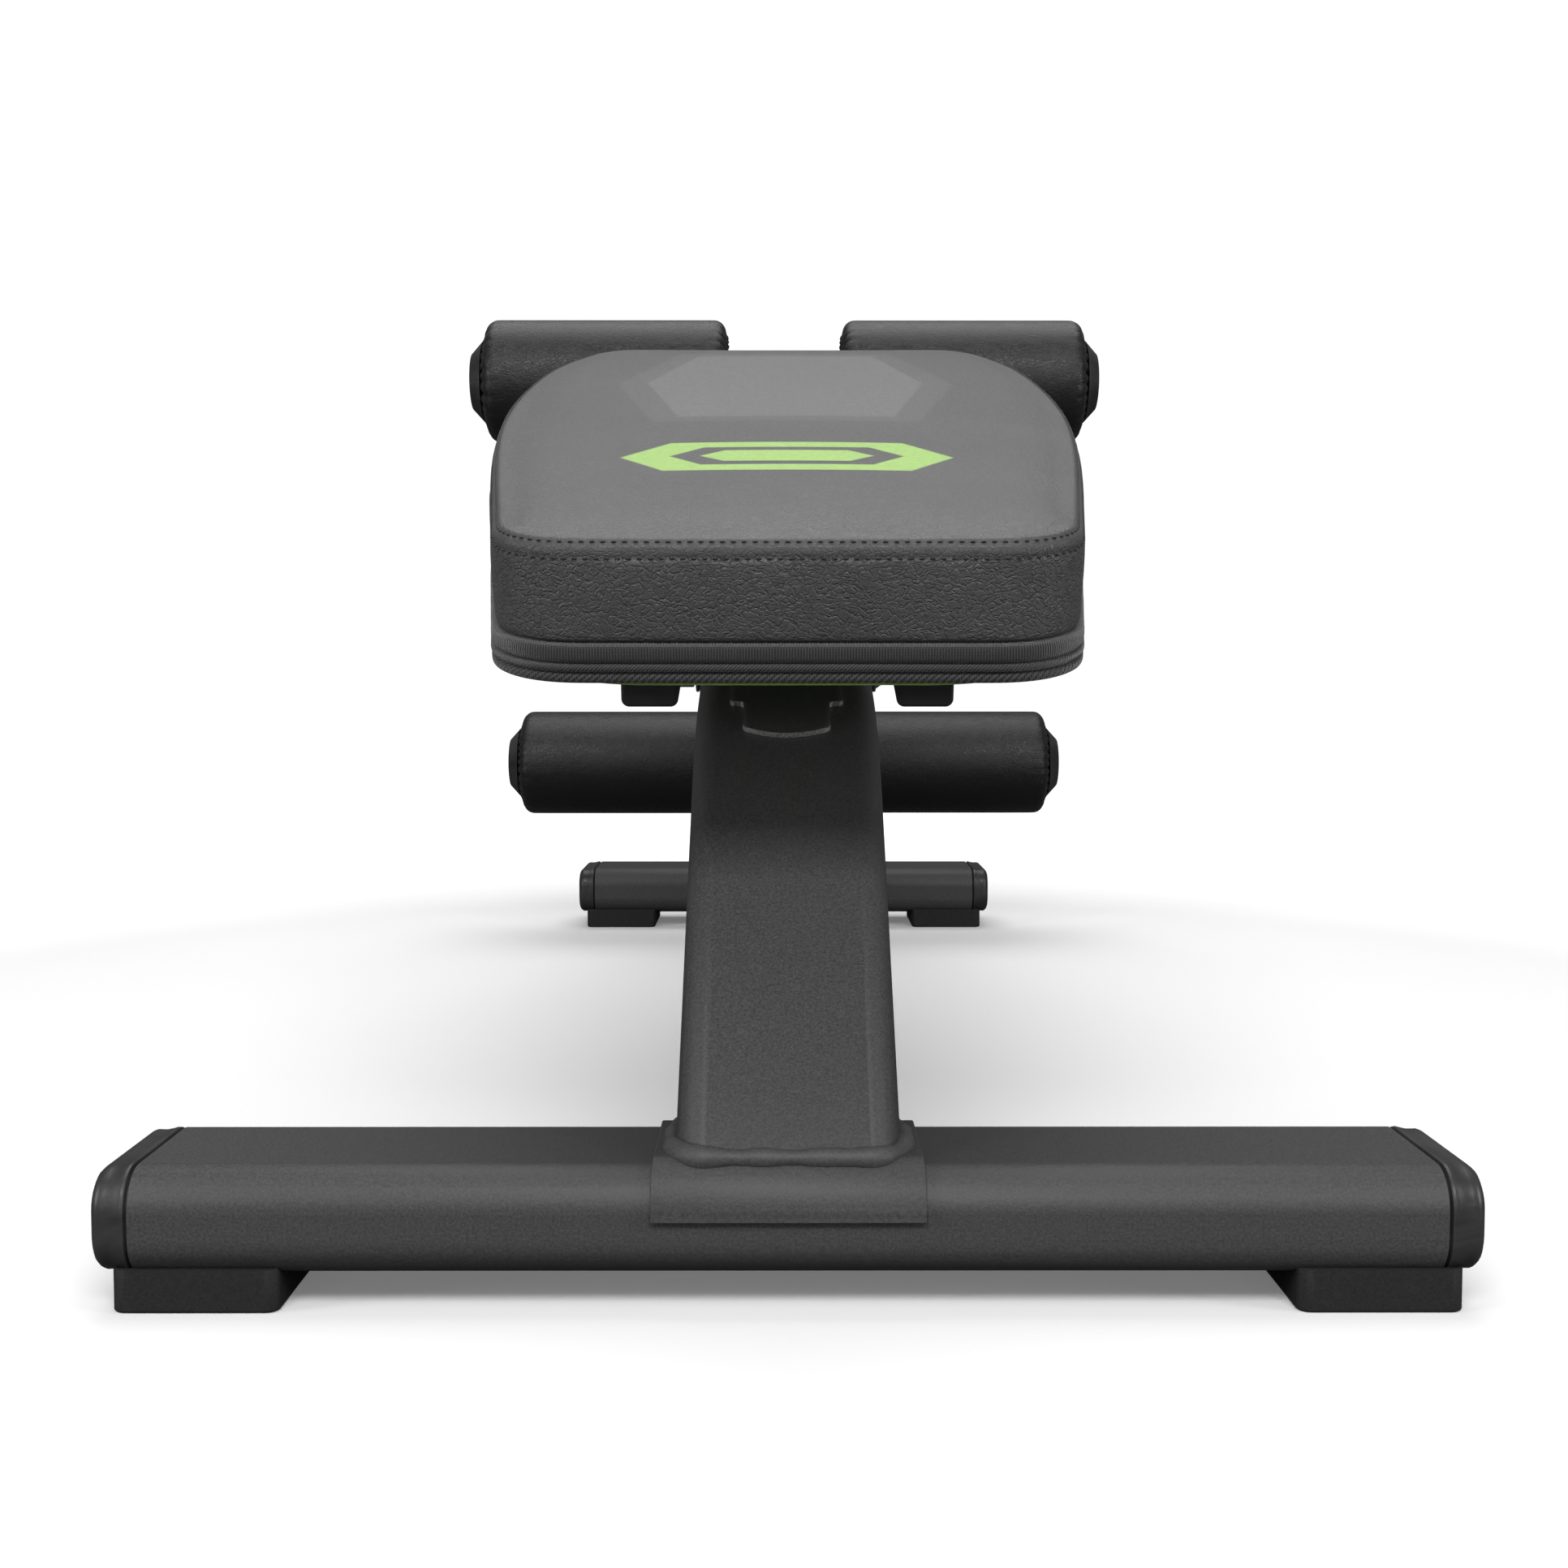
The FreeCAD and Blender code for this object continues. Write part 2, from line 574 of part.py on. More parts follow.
# ---------------------------------------------------------------- roller post
def front_post_tube():
    """Build the leaning outer post, trimmed flush with the front saddle plate."""
    length = (d("knee_height") - SADDLE_TOP) / math.cos(math.radians(d("post_angle"))) - d("post_top") + 60
    tube = tube_body("post_blank", length, "dims.post_width", "dims.post_depth", "dims.post_corner",
                     "dims.tube_wall", post(0, 0, -d("post_top") - length / 2))
    axle = rod("ankle_axle_drill", "dims.axle_radius + 0.1", 2 * d("post_width"),
               post(-d("post_width"), 0, -d("roller_spacing"), ALONG_X))
    screw = rod("post_screw_drill", 5 + LOOSE, d("post_depth"), post(0, 0, -d("clamp_level"), ALONG_Y))
    return cut("front_post_tube", tube, [axle, screw, floor_block("post_trim", d("foot_pitch") / 2)])


def post_guide_sleeve():
    """Build the plastic guide in the outer post's mouth, with a flange on top."""
    body = doc.addObject("PartDesign::Body", "sleeve_blank")
    clear = 0.6
    for tag, width, depth, corner, length, backwards in (
            ("liner", "dims.post_width - 2 * dims.tube_wall", "dims.post_depth - 2 * dims.tube_wall",
             "dims.post_corner - dims.tube_wall", 60, True),
            ("flange", "dims.post_width", "dims.post_depth", "dims.post_corner", 4, False)):
        sketch = new_sketch(body, "XY_Plane")
        rounded_rectangle(sketch, tag, width, depth, corner)
        rounded_rectangle(sketch, tag + "_bore", f"dims.slider_width + {clear}",
                          f"dims.slider_depth + {clear}", f"dims.slider_corner + {clear / 2}")
        extrude(body, "Pad", sketch, length, backwards=backwards)
    body.Placement = post(0, 0, -d("post_top"))
    screw = rod("sleeve_screw_drill", 5 + LOOSE, d("post_depth"), post(0, 0, -d("clamp_level"), ALONG_Y))
    return cut("post_guide_sleeve", body, [screw])


def post_clamp_boss():
    """Build the threaded boss that the post's clamp screw turns in."""
    y = d("post_depth") / 2
    return ring("post_clamp_boss", 10, 5 + RUNNING, 10, post(0, y + 5, -d("clamp_level"), ALONG_Y))


def knee_post():
    """Build the sliding inner post with its cross sleeve and bottom bush."""
    length = d("slider_length")
    top = -8
    blank = tube_body("slider_blank", "dims.slider_length", "dims.slider_width", "dims.slider_depth",
                      "dims.slider_corner", "dims.tube_wall", post(0, 0, top - length / 2))
    cope = rod("slider_cope", 17, 200, post(-100, 0, 0, ALONG_X))
    tube = cut("knee_post_tube", blank, [cope])
    sleeve = ring("knee_cross_sleeve", 17, "dims.axle_radius + 0.05", 80, post(0, 0, 0, ALONG_X))
    bush = doc.addObject("PartDesign::Body", "knee_post_bush")
    foot = new_sketch(bush, "XY_Plane")
    rounded_rectangle(foot, "foot", "dims.post_width - 2 * dims.tube_wall - 0.8",
                      "dims.post_depth - 2 * dims.tube_wall - 0.8", "dims.post_corner - dims.tube_wall - 0.4")
    extrude(bush, "Pad", foot, 16, backwards=True)
    plug = new_sketch(bush, "XY_Plane")
    rounded_rectangle(plug, "plug", "dims.slider_width - 2 * dims.tube_wall",
                      "dims.slider_depth - 2 * dims.tube_wall", "dims.slider_corner - dims.tube_wall")
    extrude(bush, "Pad", plug, 24)
    bush.Placement = post(0, 0, top - length)
    return [tube, sleeve, bush]


# ---------------------------------------------------------------- axles and rollers
def axle_set(end, level, half, inner, spacer):
    """Build an axle tube, the spacers beside its post and its two end caps."""
    axle = ring(end + "_axle", "dims.axle_radius", "dims.axle_radius - dims.axle_wall",
                2 * half, post(0, 0, level, ALONG_X))
    made = [axle]
    spacers = []
    for side, word in ((-1, "left"), (1, "right")):
        middle = side * (inner + spacer / 2)
        spacers.append(ring(f"{end}_spacer_{word}", 19, "dims.axle_radius + 0.05", spacer,
                            post(middle, 0, level, ALONG_X)))
        turn = ALONG_X if side > 0 else Rotation(Vector(0, 1, 0), 180).multiply(ALONG_X)
        face = cone(f"{end}_cap_face_{word}", 35, 24, "dims.axle_cap_length",
                    post(side * half, 0, level, turn))
        plug = rod(f"{end}_cap_plug_{word}", "dims.axle_radius - dims.axle_wall", 25,
                   post(side * (half - 25), 0, level, turn))
        made.append(fuse(f"{end}_end_cap_{word}", [face, plug]))
    made.append(group(end + "_spacers", spacers))
    return made


def rounded_drum(label, radius, length, rounding, placement):
    """Build a solid cylinder with rounded rims, centred, along its local Z."""
    body = doc.addObject("PartDesign::Body", label)
    sketch = new_sketch(body, "XY_Plane")
    circle(sketch, "drum", 0, 0, radius)
    extrude(body, "Pad", sketch, length, symmetric=True)
    rims = value(length) / 2
    round_edges(body, rounding, lambda edge: abs(abs(edge.BoundBox.Center.z) - rims) < 1e-3)
    body.Placement = placement
    return body


def roller(name, side, level, gap):
    """Build one roller: a foam tube on the axle inside a sewn cover."""
    middle = side * (d(gap) + d("roller_length")) / 2
    place = post(middle, 0, level, ALONG_X)
    skin = ("dims.roller_diameter / 2 - dims.cover_thick", "dims.roller_length - 2 * dims.cover_hem", 9.4)
    whole = d("roller_length") + 10
    bore = rod(name + "_bore", "dims.axle_radius + 0.05", whole,
               post(middle - whole / 2, 0, level, ALONG_X))
    foam = cut(name + "_foam", rounded_drum(name + "_foam_blank", *skin, place), [bore])
    mouth = rod(name + "_mouth", 26, whole, post(middle - whole / 2, 0, level, ALONG_X))
    blank = rounded_drum(name + "_cover_blank", "dims.roller_diameter / 2", "dims.roller_length", 11, place)
    hollow = rounded_drum(name + "_cover_hollow", *skin, place)
    return [foam, cut(name + "_cover", blank, [hollow, mouth])]


# ---------------------------------------------------------------- back pad
def pad_outline(offset):
    """Return the pad's plan outline in the deck frame with sharp corners, grown by offset."""
    # half widths at distances from the head end: narrow at the head, widest at the shoulders
    side = [(-offset, 132), (130, 150), (260, 167), (400, 178), (520, 178), (620, 170)]
    side.append((d("pad_length") + offset, 141))
    rows = [Vector(half + offset, along - d("pad_behind"), 0) for along, half in side]
    right = Part.BSplineCurve()
    right.interpolate(rows)
    left = Part.BSplineCurve()
    left.interpolate([Vector(-p.x, p.y, 0) for p in reversed(rows)])
    ends = [Part.makeLine(rows[-1], Vector(-rows[-1].x, rows[-1].y, 0)),
            Part.makeLine(Vector(-rows[0].x, rows[0].y, 0), rows[0])]
    return Part.Wire([right.toShape(), ends[0], left.toShape(), ends[1]])


def pad_rim(offset, near_corner="near_corner"):
    """Return the pad's outline with rounded corners, grown by offset."""
    prism = Part.Face(pad_outline(offset)).extrude(Vector(0, 0, 10))
    for end, radius in ((-d("pad_behind") - offset, d(near_corner)),
                        (d("pad_length") - d("pad_behind") + offset, d("far_corner"))):
        corners = [edge for edge in prism.Edges if is_sharp_corner(edge, end)]
        prism = prism.makeFillet(radius + offset, corners)
    return [face for face in prism.Faces if face.BoundBox.ZMax < 1e-6][0].OuterWire


def is_sharp_corner(edge, end):
    """Tell whether an edge is one of the outline's upright corners at the end with this y."""
    first, last = edge.Vertexes[0], edge.Vertexes[-1]
    upright = abs(first.Z - last.Z) > 9 and math.hypot(first.X - last.X, first.Y - last.Y) < 1e-6
    return upright and abs(first.Y - end) < 1e-6 and abs(first.X) > 120


def rim_prism(outer, inner, bottom, top):
    """Return a prism, solid or open in the middle, between two heights."""
    flat = Part.Face(outer)
    if inner:
        flat = flat.cut(Part.Face(inner)).Faces[0]
    flat.translate(Vector(0, 0, bottom))
    return flat.extrude(Vector(0, 0, top - bottom))


def feature(label, shape, placement):
    """Hold a shape built from a free curve as a document object."""
    holder = doc.addObject("Part::Feature", label)
    holder.Shape = shape
    holder.Placement = placement
    return holder


def cushion_block(inset, bottom, top, rounding):
    """Return the cushion's solid form, its top edge rounded, shrunk by inset all round."""
    block = rim_prism(pad_rim(-inset), None, bottom, top - inset)
    rim = [edge for edge in block.Edges if edge.BoundBox.ZMin > top - inset - 1e-3]
    return block.makeFillet(rounding - inset, rim)


def pad_upholstery():
    """Build the cushion's foam and cover, the woven band below it and the board under it."""
    under = d("pad_clearance")
    seat = under + d("board_thick")
    crown = seat + d("cushion_thick")
    skin = d("pad_skin")
    foam = cushion_block(skin, seat, crown, 9)
    cover = cushion_block(0, seat, crown, 9).cut(foam)
    inset = d("board_inset")
    band = rim_prism(pad_rim(d("band_proud")), pad_rim(-inset), seat - d("band_height"), seat)
    board = rim_prism(pad_rim(-inset, "board_corner"), None, under, seat)
    for x, y in strap_screw_places():
        hole = Part.makeCylinder(4 + LOOSE, 16, Vector(x, y, under - 1))
        board = board.cut(hole)
    return [feature("pad_foam", foam, DECK), feature("pad_cushion", cover, DECK),
            feature("pad_side_band", band, DECK), feature("pad_base_board", board, DECK)]


def rail_middle():
    """Return the distance of a rail's centreline from the pad's centreline."""
    return d("rail_inner") + d("rail_width") / 2


def pad_rail(label, side):
    """Build one of the two tubes under the pad, bored for its hinge bush."""
    middle = d("rail_overhang") - d("rail_length") / 2
    level = d("pad_clearance") - d("rail_height") / 2
    tube = tube_body(label + "_blank", "dims.rail_length", "dims.rail_width", "dims.rail_height",
                     4, "dims.rail_wall", deck(side * rail_middle(), middle, level, ALONG_Y))
    bore = rod(label + "_bore", 9, d("rail_width") + 4,
               deck(side * rail_middle() - d("rail_width") / 2 - 2, 0, 0, ALONG_X))
    return cut(label, tube, [bore])


def rail_plugs():
    """Build the four plastic plugs that close the rails' ends."""
    plugs = []
    level = d("pad_clearance") - d("rail_height") / 2
    ends = ((-1, d("rail_overhang") - d("rail_length")), (1, d("rail_overhang")))
    for side in (-1, 1):
        for way, y in ends:
            name = f"rail_plug_{'l' if side < 0 else 'r'}_{'near' if way < 0 else 'far'}"
            body = doc.addObject("PartDesign::Body", name)
            face = new_sketch(body, "XY_Plane")
            rounded_rectangle(face, "face", "dims.rail_width", "dims.rail_height", 4)
            extrude(body, "Pad", face, 5)
            stem = new_sketch(body, "XY_Plane")
            rounded_rectangle(stem, "stem", "dims.rail_width - 2 * dims.rail_wall",
                              "dims.rail_height - 2 * dims.rail_wall", 2)
            extrude(body, "Pad", stem, 16, backwards=True)
            round_edges(body, 2, at_level(5))
            turn = Rotation(Vector(1, 0, 0), -90 if way > 0 else 90)
            body.Placement = deck(side * rail_middle(), y, level, turn)
            plugs.append(body)
    return group("pad_rail_plugs", plugs)


def strap_places():
    """Return the deck's y of the middle of each cross strap."""
    return [-d("strap_near"), -d("strap_far")]


def strap_screw_places():
    """Return the plan places of the screws that hold the board on the straps."""
    return [(x, y + step) for x in (-d("strap_screw_x"), d("strap_screw_x"))
            for y in strap_places() for step in (-18, 18)]


def cross_straps():
    """Build the flat straps between the rails that the board is screwed to."""
    straps = []
    for i, y in enumerate(strap_places()):
        blank = box(f"strap_blank_{i}", "2 * dims.rail_inner", "dims.strap_length", "dims.strap_thick",
                    deck(-d("rail_inner"), y - d("strap_length") / 2, d("pad_clearance") - d("strap_thick")))
        drills = [rod(f"strap_drill_{i}_{j}", 4 + LOOSE, 20, deck(x, sy, 5))
                  for j, (x, sy) in enumerate(strap_screw_places()) if abs(sy - y) < d("strap_length") / 2]
        straps.append(cut(f"strap_{i}", blank, drills))
    return group("pad_cross_straps", straps)


def pad_screws():
    """Build the hexagon screws that hold the board on the straps."""
    screws = []
    under = d("pad_clearance") - d("strap_thick")
    for i, (x, y) in enumerate(strap_screw_places()):
        head = hexagon(f"pad_screw_head_{i}", 7.5, 5.5, deck(x, y, under - 5.5))
        shank = rod(f"pad_screw_shank_{i}", 4, 18, deck(x, y, under))
        screws.append(fuse(f"pad_screw_{i}", [head, shank]))
    return group("pad_screws", screws)


def hinge_bushes():
    """Build the flanged nylon bushes that turn on the hinge pin, one in each rail."""
    bushes = []
    width = d("rail_width")
    for side, word in ((-1, "left"), (1, "right")):
        outer = side * (d("rail_inner") + width)
        start = min(side * d("rail_inner"), outer)
        liner = rod(f"bush_liner_{word}", 9, width, deck(start, 0, 0, ALONG_X))
        flange = rod(f"bush_flange_{word}", 11.5, 2, deck(outer if side > 0 else outer - 2, 0, 0, ALONG_X))
        bore = rod(f"bush_bore_{word}", d("hinge_radius") + RUNNING, width + 8,
                   deck(start - 4, 0, 0, ALONG_X))
        bushes.append(cut(f"hinge_bush_{word}", fuse(f"bush_blank_{word}", [liner, flange]), [bore]))
    return group("hinge_bushes", bushes)


def arc_band(name, inner, outer, first, last, x, thick):
    """Build a flat arc-shaped plate about the hinge axis; angles run from -Y down towards -Z."""
    turn = Rotation(Vector(1, 0, 0), 180 + first).multiply(ALONG_X)
    sector = rod(name + "_sector", outer, thick, deck(x, 0, 0, turn), last - first)
    core = rod(name + "_core", inner, thick + 2, deck(x - 1, 0, 0, ALONG_X))
    return cut(name, sector, [core])


def tilt_sector(word, x):
    """Build the slotted quadrant that hangs from a rail beside the beam."""
    name = "tilt_sector_" + word
    radius = math.hypot(d("clamp_back"), d("beam_drop"))
    rest = math.degrees(math.atan2(d("beam_drop"), d("clamp_back")))
    full = rest + d("tilt_range")
    half, slot, thick = d("sector_half"), d("slot_radius"), d("sector_plate")

    def on_arc(angle):
        return -radius * math.cos(math.radians(angle)), -radius * math.sin(math.radians(angle))

    band = arc_band(name + "_band", radius - half, radius + half, SECTOR_TOP, full, x, thick)
    tip = rod(name + "_tip", half, thick, deck(x, *on_arc(full), ALONG_X))
    opening = [arc_band(name + "_slot", radius - slot, radius + slot, rest, full, x - 1, thick + 2)]
    for i, angle in enumerate((rest, full)):
        opening.append(rod(f"{name}_slot_end_{i}", slot, thick + 2, deck(x - 1, *on_arc(angle), ALONG_X)))
    return cut(name, fuse(name + "_blank", [band, tip]), opening)


# ---------------------------------------------------------------- clamps
def clamp_place(x, turn=ALONG_X):
    """Place something on the tilt clamp's axis in the beam."""
    return deck(x, -d("clamp_back"), -d("beam_drop"), turn)


def tilt_clamp_bolt():
    """Build the through bolt of the tilt clamp, with its head on the right."""
    shank = rod("clamp_shank", "dims.clamp_radius", 134, clamp_place(-76))
    head = cone("clamp_head", 13, 9, 6, clamp_place(56.2))
    return fuse("tilt_clamp_bolt", [shank, head])


def clamp_spacers():
    """Build the tube that keeps the beam's walls apart and the washer outside each quadrant."""
    outer = d("tube_width") / 2 + 0.5 + d("sector_plate")
    spacers = [ring(f"clamp_washer_{word}", 15, "dims.clamp_radius", 2, clamp_place(side * (outer + 1.5)))
               for side, word in ((-1, "left"), (1, "right"))]
    spacers.append(ring("clamp_tube", 10, "dims.clamp_radius + 0.1",
                        "dims.tube_width - 2 * dims.tube_wall - 0.2", clamp_place(0)))
    return group("tilt_clamp_spacers", spacers)


def fluted_knob(label, radius, thick, bore, depth, base, lobes=8):
    """Build a knob with finger flutes; base is the placement of its inner face, outward along Z."""
    body = doc.addObject("PartDesign::Body", label + "_blank")
    sketch = new_sketch(body, "XY_Plane")
    circle(sketch, "knob", 0, 0, radius)
    extrude(body, "Pad", sketch, thick)
    round_edges(body, 3, at_level(thick))
    body.Placement = base
    tools = [rod(label + "_bore", bore, depth, base.multiply(Placement(Vector(0, 0, -1), Rotation())))]
    for i in range(lobes):
        angle = 2 * math.pi * i / lobes
        place = Vector((radius + 3) * math.cos(angle), (radius + 3) * math.sin(angle), -1)
        tools.append(rod(f"{label}_flute_{i}", 5.5, thick + 2, base.multiply(Placement(place, Rotation()))))
    return cut(label, body, tools)


def tilt_knob():
    """Build the tilt clamp's knob and its ribbed metal insert, on the left of the beam."""
    outward = Rotation(Vector(0, 0, 1), 180).multiply(ALONG_X)
    insert = ring("tilt_knob_insert", 12, d("clamp_radius") + RUNNING, 14, clamp_place(-64.2))
    knob = fluted_knob("tilt_knob", 20, 28, d("clamp_radius") + RUNNING, 9, clamp_place(-71.2, outward))
    return [knob, insert]


def post_knob():
    """Build the post's clamp knob and its screw, on the side away from the pad."""
    level = -d("clamp_level")
    tip = d("slider_depth") / 2 + 0.6
    screw = rod("post_clamp_screw", 5, 44, post(0, tip, level, ALONG_Y))
    knob = fluted_knob("post_knob", 23, 26, 5, 21, post(0, tip + 24, level, ALONG_Y))
    return [knob, screw]


# ---------------------------------------------------------------- assembly
def build():
    """Build every sub-part and return the list of finished objects."""
    pitch = d("foot_pitch") / 2
    pieces = stabiliser("rear", -pitch, "rear_span") + stabiliser("front", pitch, "front_span")
    pieces += [main_frame_tube(), leg_tongue_plate(), hinge_bracket(), hinge_pin()]
    pieces += [post_mount_bracket(), beam_post_bolts(), front_post_tube(), post_guide_sleeve()]
    pieces += [post_clamp_boss()] + knee_post()
    knee_half = d("knee_gap") / 2 + d("roller_length") + 0.7
    ankle_half = d("ankle_gap") / 2 + d("roller_length") + 0.7
    ankle = -d("roller_spacing")
    pieces += axle_set("knee", 0, knee_half, 40.0, 6.7)
    pieces += axle_set("ankle", ankle, ankle_half, d("post_width") / 2, 20.5)
    for side, word in ((-1, "left"), (1, "right")):
        pieces += roller("knee_roller_" + word, side, 0, "knee_gap")
        pieces += roller("ankle_roller_" + word, side, ankle, "ankle_gap")
        pieces.append(pad_rail("pad_rail_" + word, side))
        inner = d("tube_width") / 2 + 0.5
        pieces.append(tilt_sector(word, inner if side > 0 else -inner - d("sector_plate")))
    pieces += pad_upholstery()
    pieces += [rail_plugs(), cross_straps(), pad_screws(), hinge_bushes()]
    pieces += [tilt_clamp_bolt(), clamp_spacers()] + tilt_knob() + post_knob()
    return pieces


def check(pieces):
    """Stop if any object failed or any finished piece is empty or invalid."""
    doc.recompute()
    for item in doc.Objects:
        if "Invalid" in item.State or "Error" in item.State:
            raise RuntimeError(f"{item.Label}: {item.State}")
    for piece in pieces:
        if piece.Shape.isNull() or not piece.Shape.isValid():
            raise RuntimeError(piece.Label + ": no valid shape")


bench = build()
check(bench)
for piece in bench:
    piece.Shape.exportStep(f"parts/{piece.Label}.step")
    print(f"{piece.Label:28s} solids {len(piece.Shape.Solids)}  volume {piece.Shape.Volume / 1000:9.2f} cm3")
print(len(bench), "parts written")
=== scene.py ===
"""Looks for a decline sit-up bench: upholstery, caps, weld beads, finishes and a studio."""

import json
import math

import bpy
import numpy as np
from bpy.props import FloatProperty, FloatVectorProperty, IntProperty, PointerProperty
from mathutils import Matrix, Vector, geometry
from mathutils.bvhtree import BVHTree


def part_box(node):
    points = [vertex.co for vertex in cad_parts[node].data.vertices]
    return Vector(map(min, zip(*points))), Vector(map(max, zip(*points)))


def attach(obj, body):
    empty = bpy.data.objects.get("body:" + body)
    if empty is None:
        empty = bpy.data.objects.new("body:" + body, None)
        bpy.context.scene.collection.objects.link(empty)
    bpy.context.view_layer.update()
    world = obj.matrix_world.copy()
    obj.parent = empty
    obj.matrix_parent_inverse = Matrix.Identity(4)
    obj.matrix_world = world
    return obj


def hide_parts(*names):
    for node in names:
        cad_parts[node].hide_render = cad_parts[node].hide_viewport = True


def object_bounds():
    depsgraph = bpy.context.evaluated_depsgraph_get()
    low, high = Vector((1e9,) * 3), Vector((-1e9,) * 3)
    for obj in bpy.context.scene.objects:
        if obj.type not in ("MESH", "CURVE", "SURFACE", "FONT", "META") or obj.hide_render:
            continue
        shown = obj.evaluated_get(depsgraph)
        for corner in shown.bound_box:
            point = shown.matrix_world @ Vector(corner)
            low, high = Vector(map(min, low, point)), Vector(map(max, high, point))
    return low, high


bl_info = {
    "name": "Decline sit-up bench looks",
    "version": (1, 0, 0),
    "blender": (4, 5, 0),
    "location": "3D View > Sidebar > Bench",
    "description": "Builds the upholstery, caps, weld beads, finishes and studio of the bench",
    "category": "Object",
}

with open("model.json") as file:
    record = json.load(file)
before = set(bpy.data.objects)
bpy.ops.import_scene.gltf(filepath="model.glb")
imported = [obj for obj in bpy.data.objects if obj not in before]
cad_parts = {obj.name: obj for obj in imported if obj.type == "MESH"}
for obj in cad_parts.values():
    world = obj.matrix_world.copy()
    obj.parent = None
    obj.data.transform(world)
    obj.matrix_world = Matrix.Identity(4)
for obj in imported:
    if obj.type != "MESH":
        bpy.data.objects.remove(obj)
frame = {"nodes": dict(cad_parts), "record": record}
CAD_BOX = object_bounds()
NODES = frame["nodes"]
SLOT_OF = {part["node"]: part["material_slot"]
           for part in frame["record"]["subparts"] if part.get("material_slot")}
NODE_ENDS = {}     # near and far end of the pad along its deck
FINISHES = {}      # finishes already made, by name

MM = 0.001
WAVE_ROUND = 6.283                     # radians that the uneven waves take round a closed line
RIM_ACROSS, RIM_ALONG = 50, 116        # points along each end and each side of the pad's rim
TONGUE_BOTTOM = math.radians(9.4)      # angles round the leg's bend, from its lower end
TONGUE_TOP = math.radians(25.5)
LEG_SECTION = (0.100, 0.047, 0.014)    # width, depth and corner of the leg, and of the post
POST_SECTION = (0.072, 0.050, 0.010)
SHARP = math.radians(38)               # edges turning more than this get a small bevel

FULLNESS = 0.45        # below 1, the swelling rises close to the seams
EVEN_ROUNDS = 14       # rounds that spread the swelling over the cover
CRINKLE = 0.55 * MM    # size of the small puckers beside a seam

# Prints on the pad: distance from its near end, half width, half length, slant and soft edge
HEXAGONS = {
    "field": (0.478, 0.112, 0.172, 0.30, 0.006),
    "core": (0.478, 0.092, 0.154, 0.30, 0.006),
    "badge": (0.185, 0.088, 0.042, 0.28, 0.012),
    "window": (0.185, 0.062, 0.026, 0.28, 0.016),
    "dot": (0.185, 0.046, 0.016, 0.28, 0.02),
}
PRINT_HEIGHTS = (0.0765, 0.0775)       # above the hinge axis, where the prints begin
CREASE_HEIGHTS = (0.078, 0.0735)       # and where the side's deeper creases begin

# The woven band from top to bottom: millimetres out from the rim, share of its height
BAND_PROFILE = (
    (-5.6, 0.0), (-0.4, 0.012), (1.1, 0.05), (1.55, 0.14), (1.7, 0.26), (1.5, 0.38),
    (0.9, 0.43), (-0.9, 0.455), (-0.9, 0.50), (0.9, 0.515), (1.75, 0.555),
    (2.0, 0.60), (1.75, 0.645), (0.8, 0.685), (-0.6, 0.70), (-0.6, 0.735),
    (0.9, 0.75), (1.6, 0.81), (1.7, 0.88), (1.2, 0.95), (-0.2, 0.99), (-5.6, 1.0))
WEBBING_FOOT, CORD_FOOT = 0.45, 0.70   # shares of the height where webbing and cord end

FLOOR_GLOW = (0.14, 0.97)    # lifts the floor to white, less near the bench so shadows show
FLOOR_REACH = (0.80, 1.8)    # distance from the middle where that lift starts and is full
FLOOR_BOUNCE = 0.09          # how much of the light the floor throws back on the bench
LIGHTS_MEET = (0.0, -0.1, 0.3)
SOFTBOXES = (                # place, size and share of the power
    ("overhead", (0.0, 0.5, 2.7), (2.6, 2.2), 0.62),
    ("front_high", (0.0, -2.7, 2.2), (2.4, 0.9), 1.05),
    ("strip", (0.0, -3.0, 0.55), (3.4, 0.2), 0.15),
    ("left", (-2.5, -1.5, 1.0), (0.7, 1.4), 0.42),
    ("right", (2.5, -1.5, 1.0), (0.7, 1.4), 0.42),
    ("behind", (0.0, 1.9, 2.6), (2.8, 0.4), 0.16),
)


# ---------------------------------------------------------------- settings

class CushionSettings(bpy.types.PropertyGroup):
    """Sizes of the back pad's cushion and its seams."""
    deck_angle: FloatProperty(name="Deck angle", description="Slope of the pad at rest",
                              default=math.radians(15.5), subtype="ANGLE")
    slack: FloatProperty(name="Slack", description="How much smaller the cushion starts",
                         default=0.9 * MM, unit="LENGTH")
    pressure: FloatProperty(name="Pressure", description="Pressure that swells the cushion",
                            default=4.0)
    swell: FloatProperty(name="Swell", description="Farthest a point may swell",
                         default=6.5 * MM, unit="LENGTH")
    steps: IntProperty(name="Steps", description="Frames the swelling runs for", default=20)
    edge_seam: FloatProperty(name="Edge seam", description="Seam below the crown",
                             default=2.4 * MM, unit="LENGTH")
    side_seam: FloatProperty(name="Side seam", description="Stitch row below the crown",
                             default=9.6 * MM, unit="LENGTH")
    seam_depth: FloatProperty(name="Seam depth", description="How far a seam pulls in",
                              default=1.3 * MM, unit="LENGTH")
    stitch_pitch: FloatProperty(name="Stitch pitch", description="Distance between stitches",
                                default=4.8 * MM, unit="LENGTH")
    thread_radius: FloatProperty(name="Thread radius", description="Half the thread's width",
                                 default=0.5 * MM, unit="LENGTH")


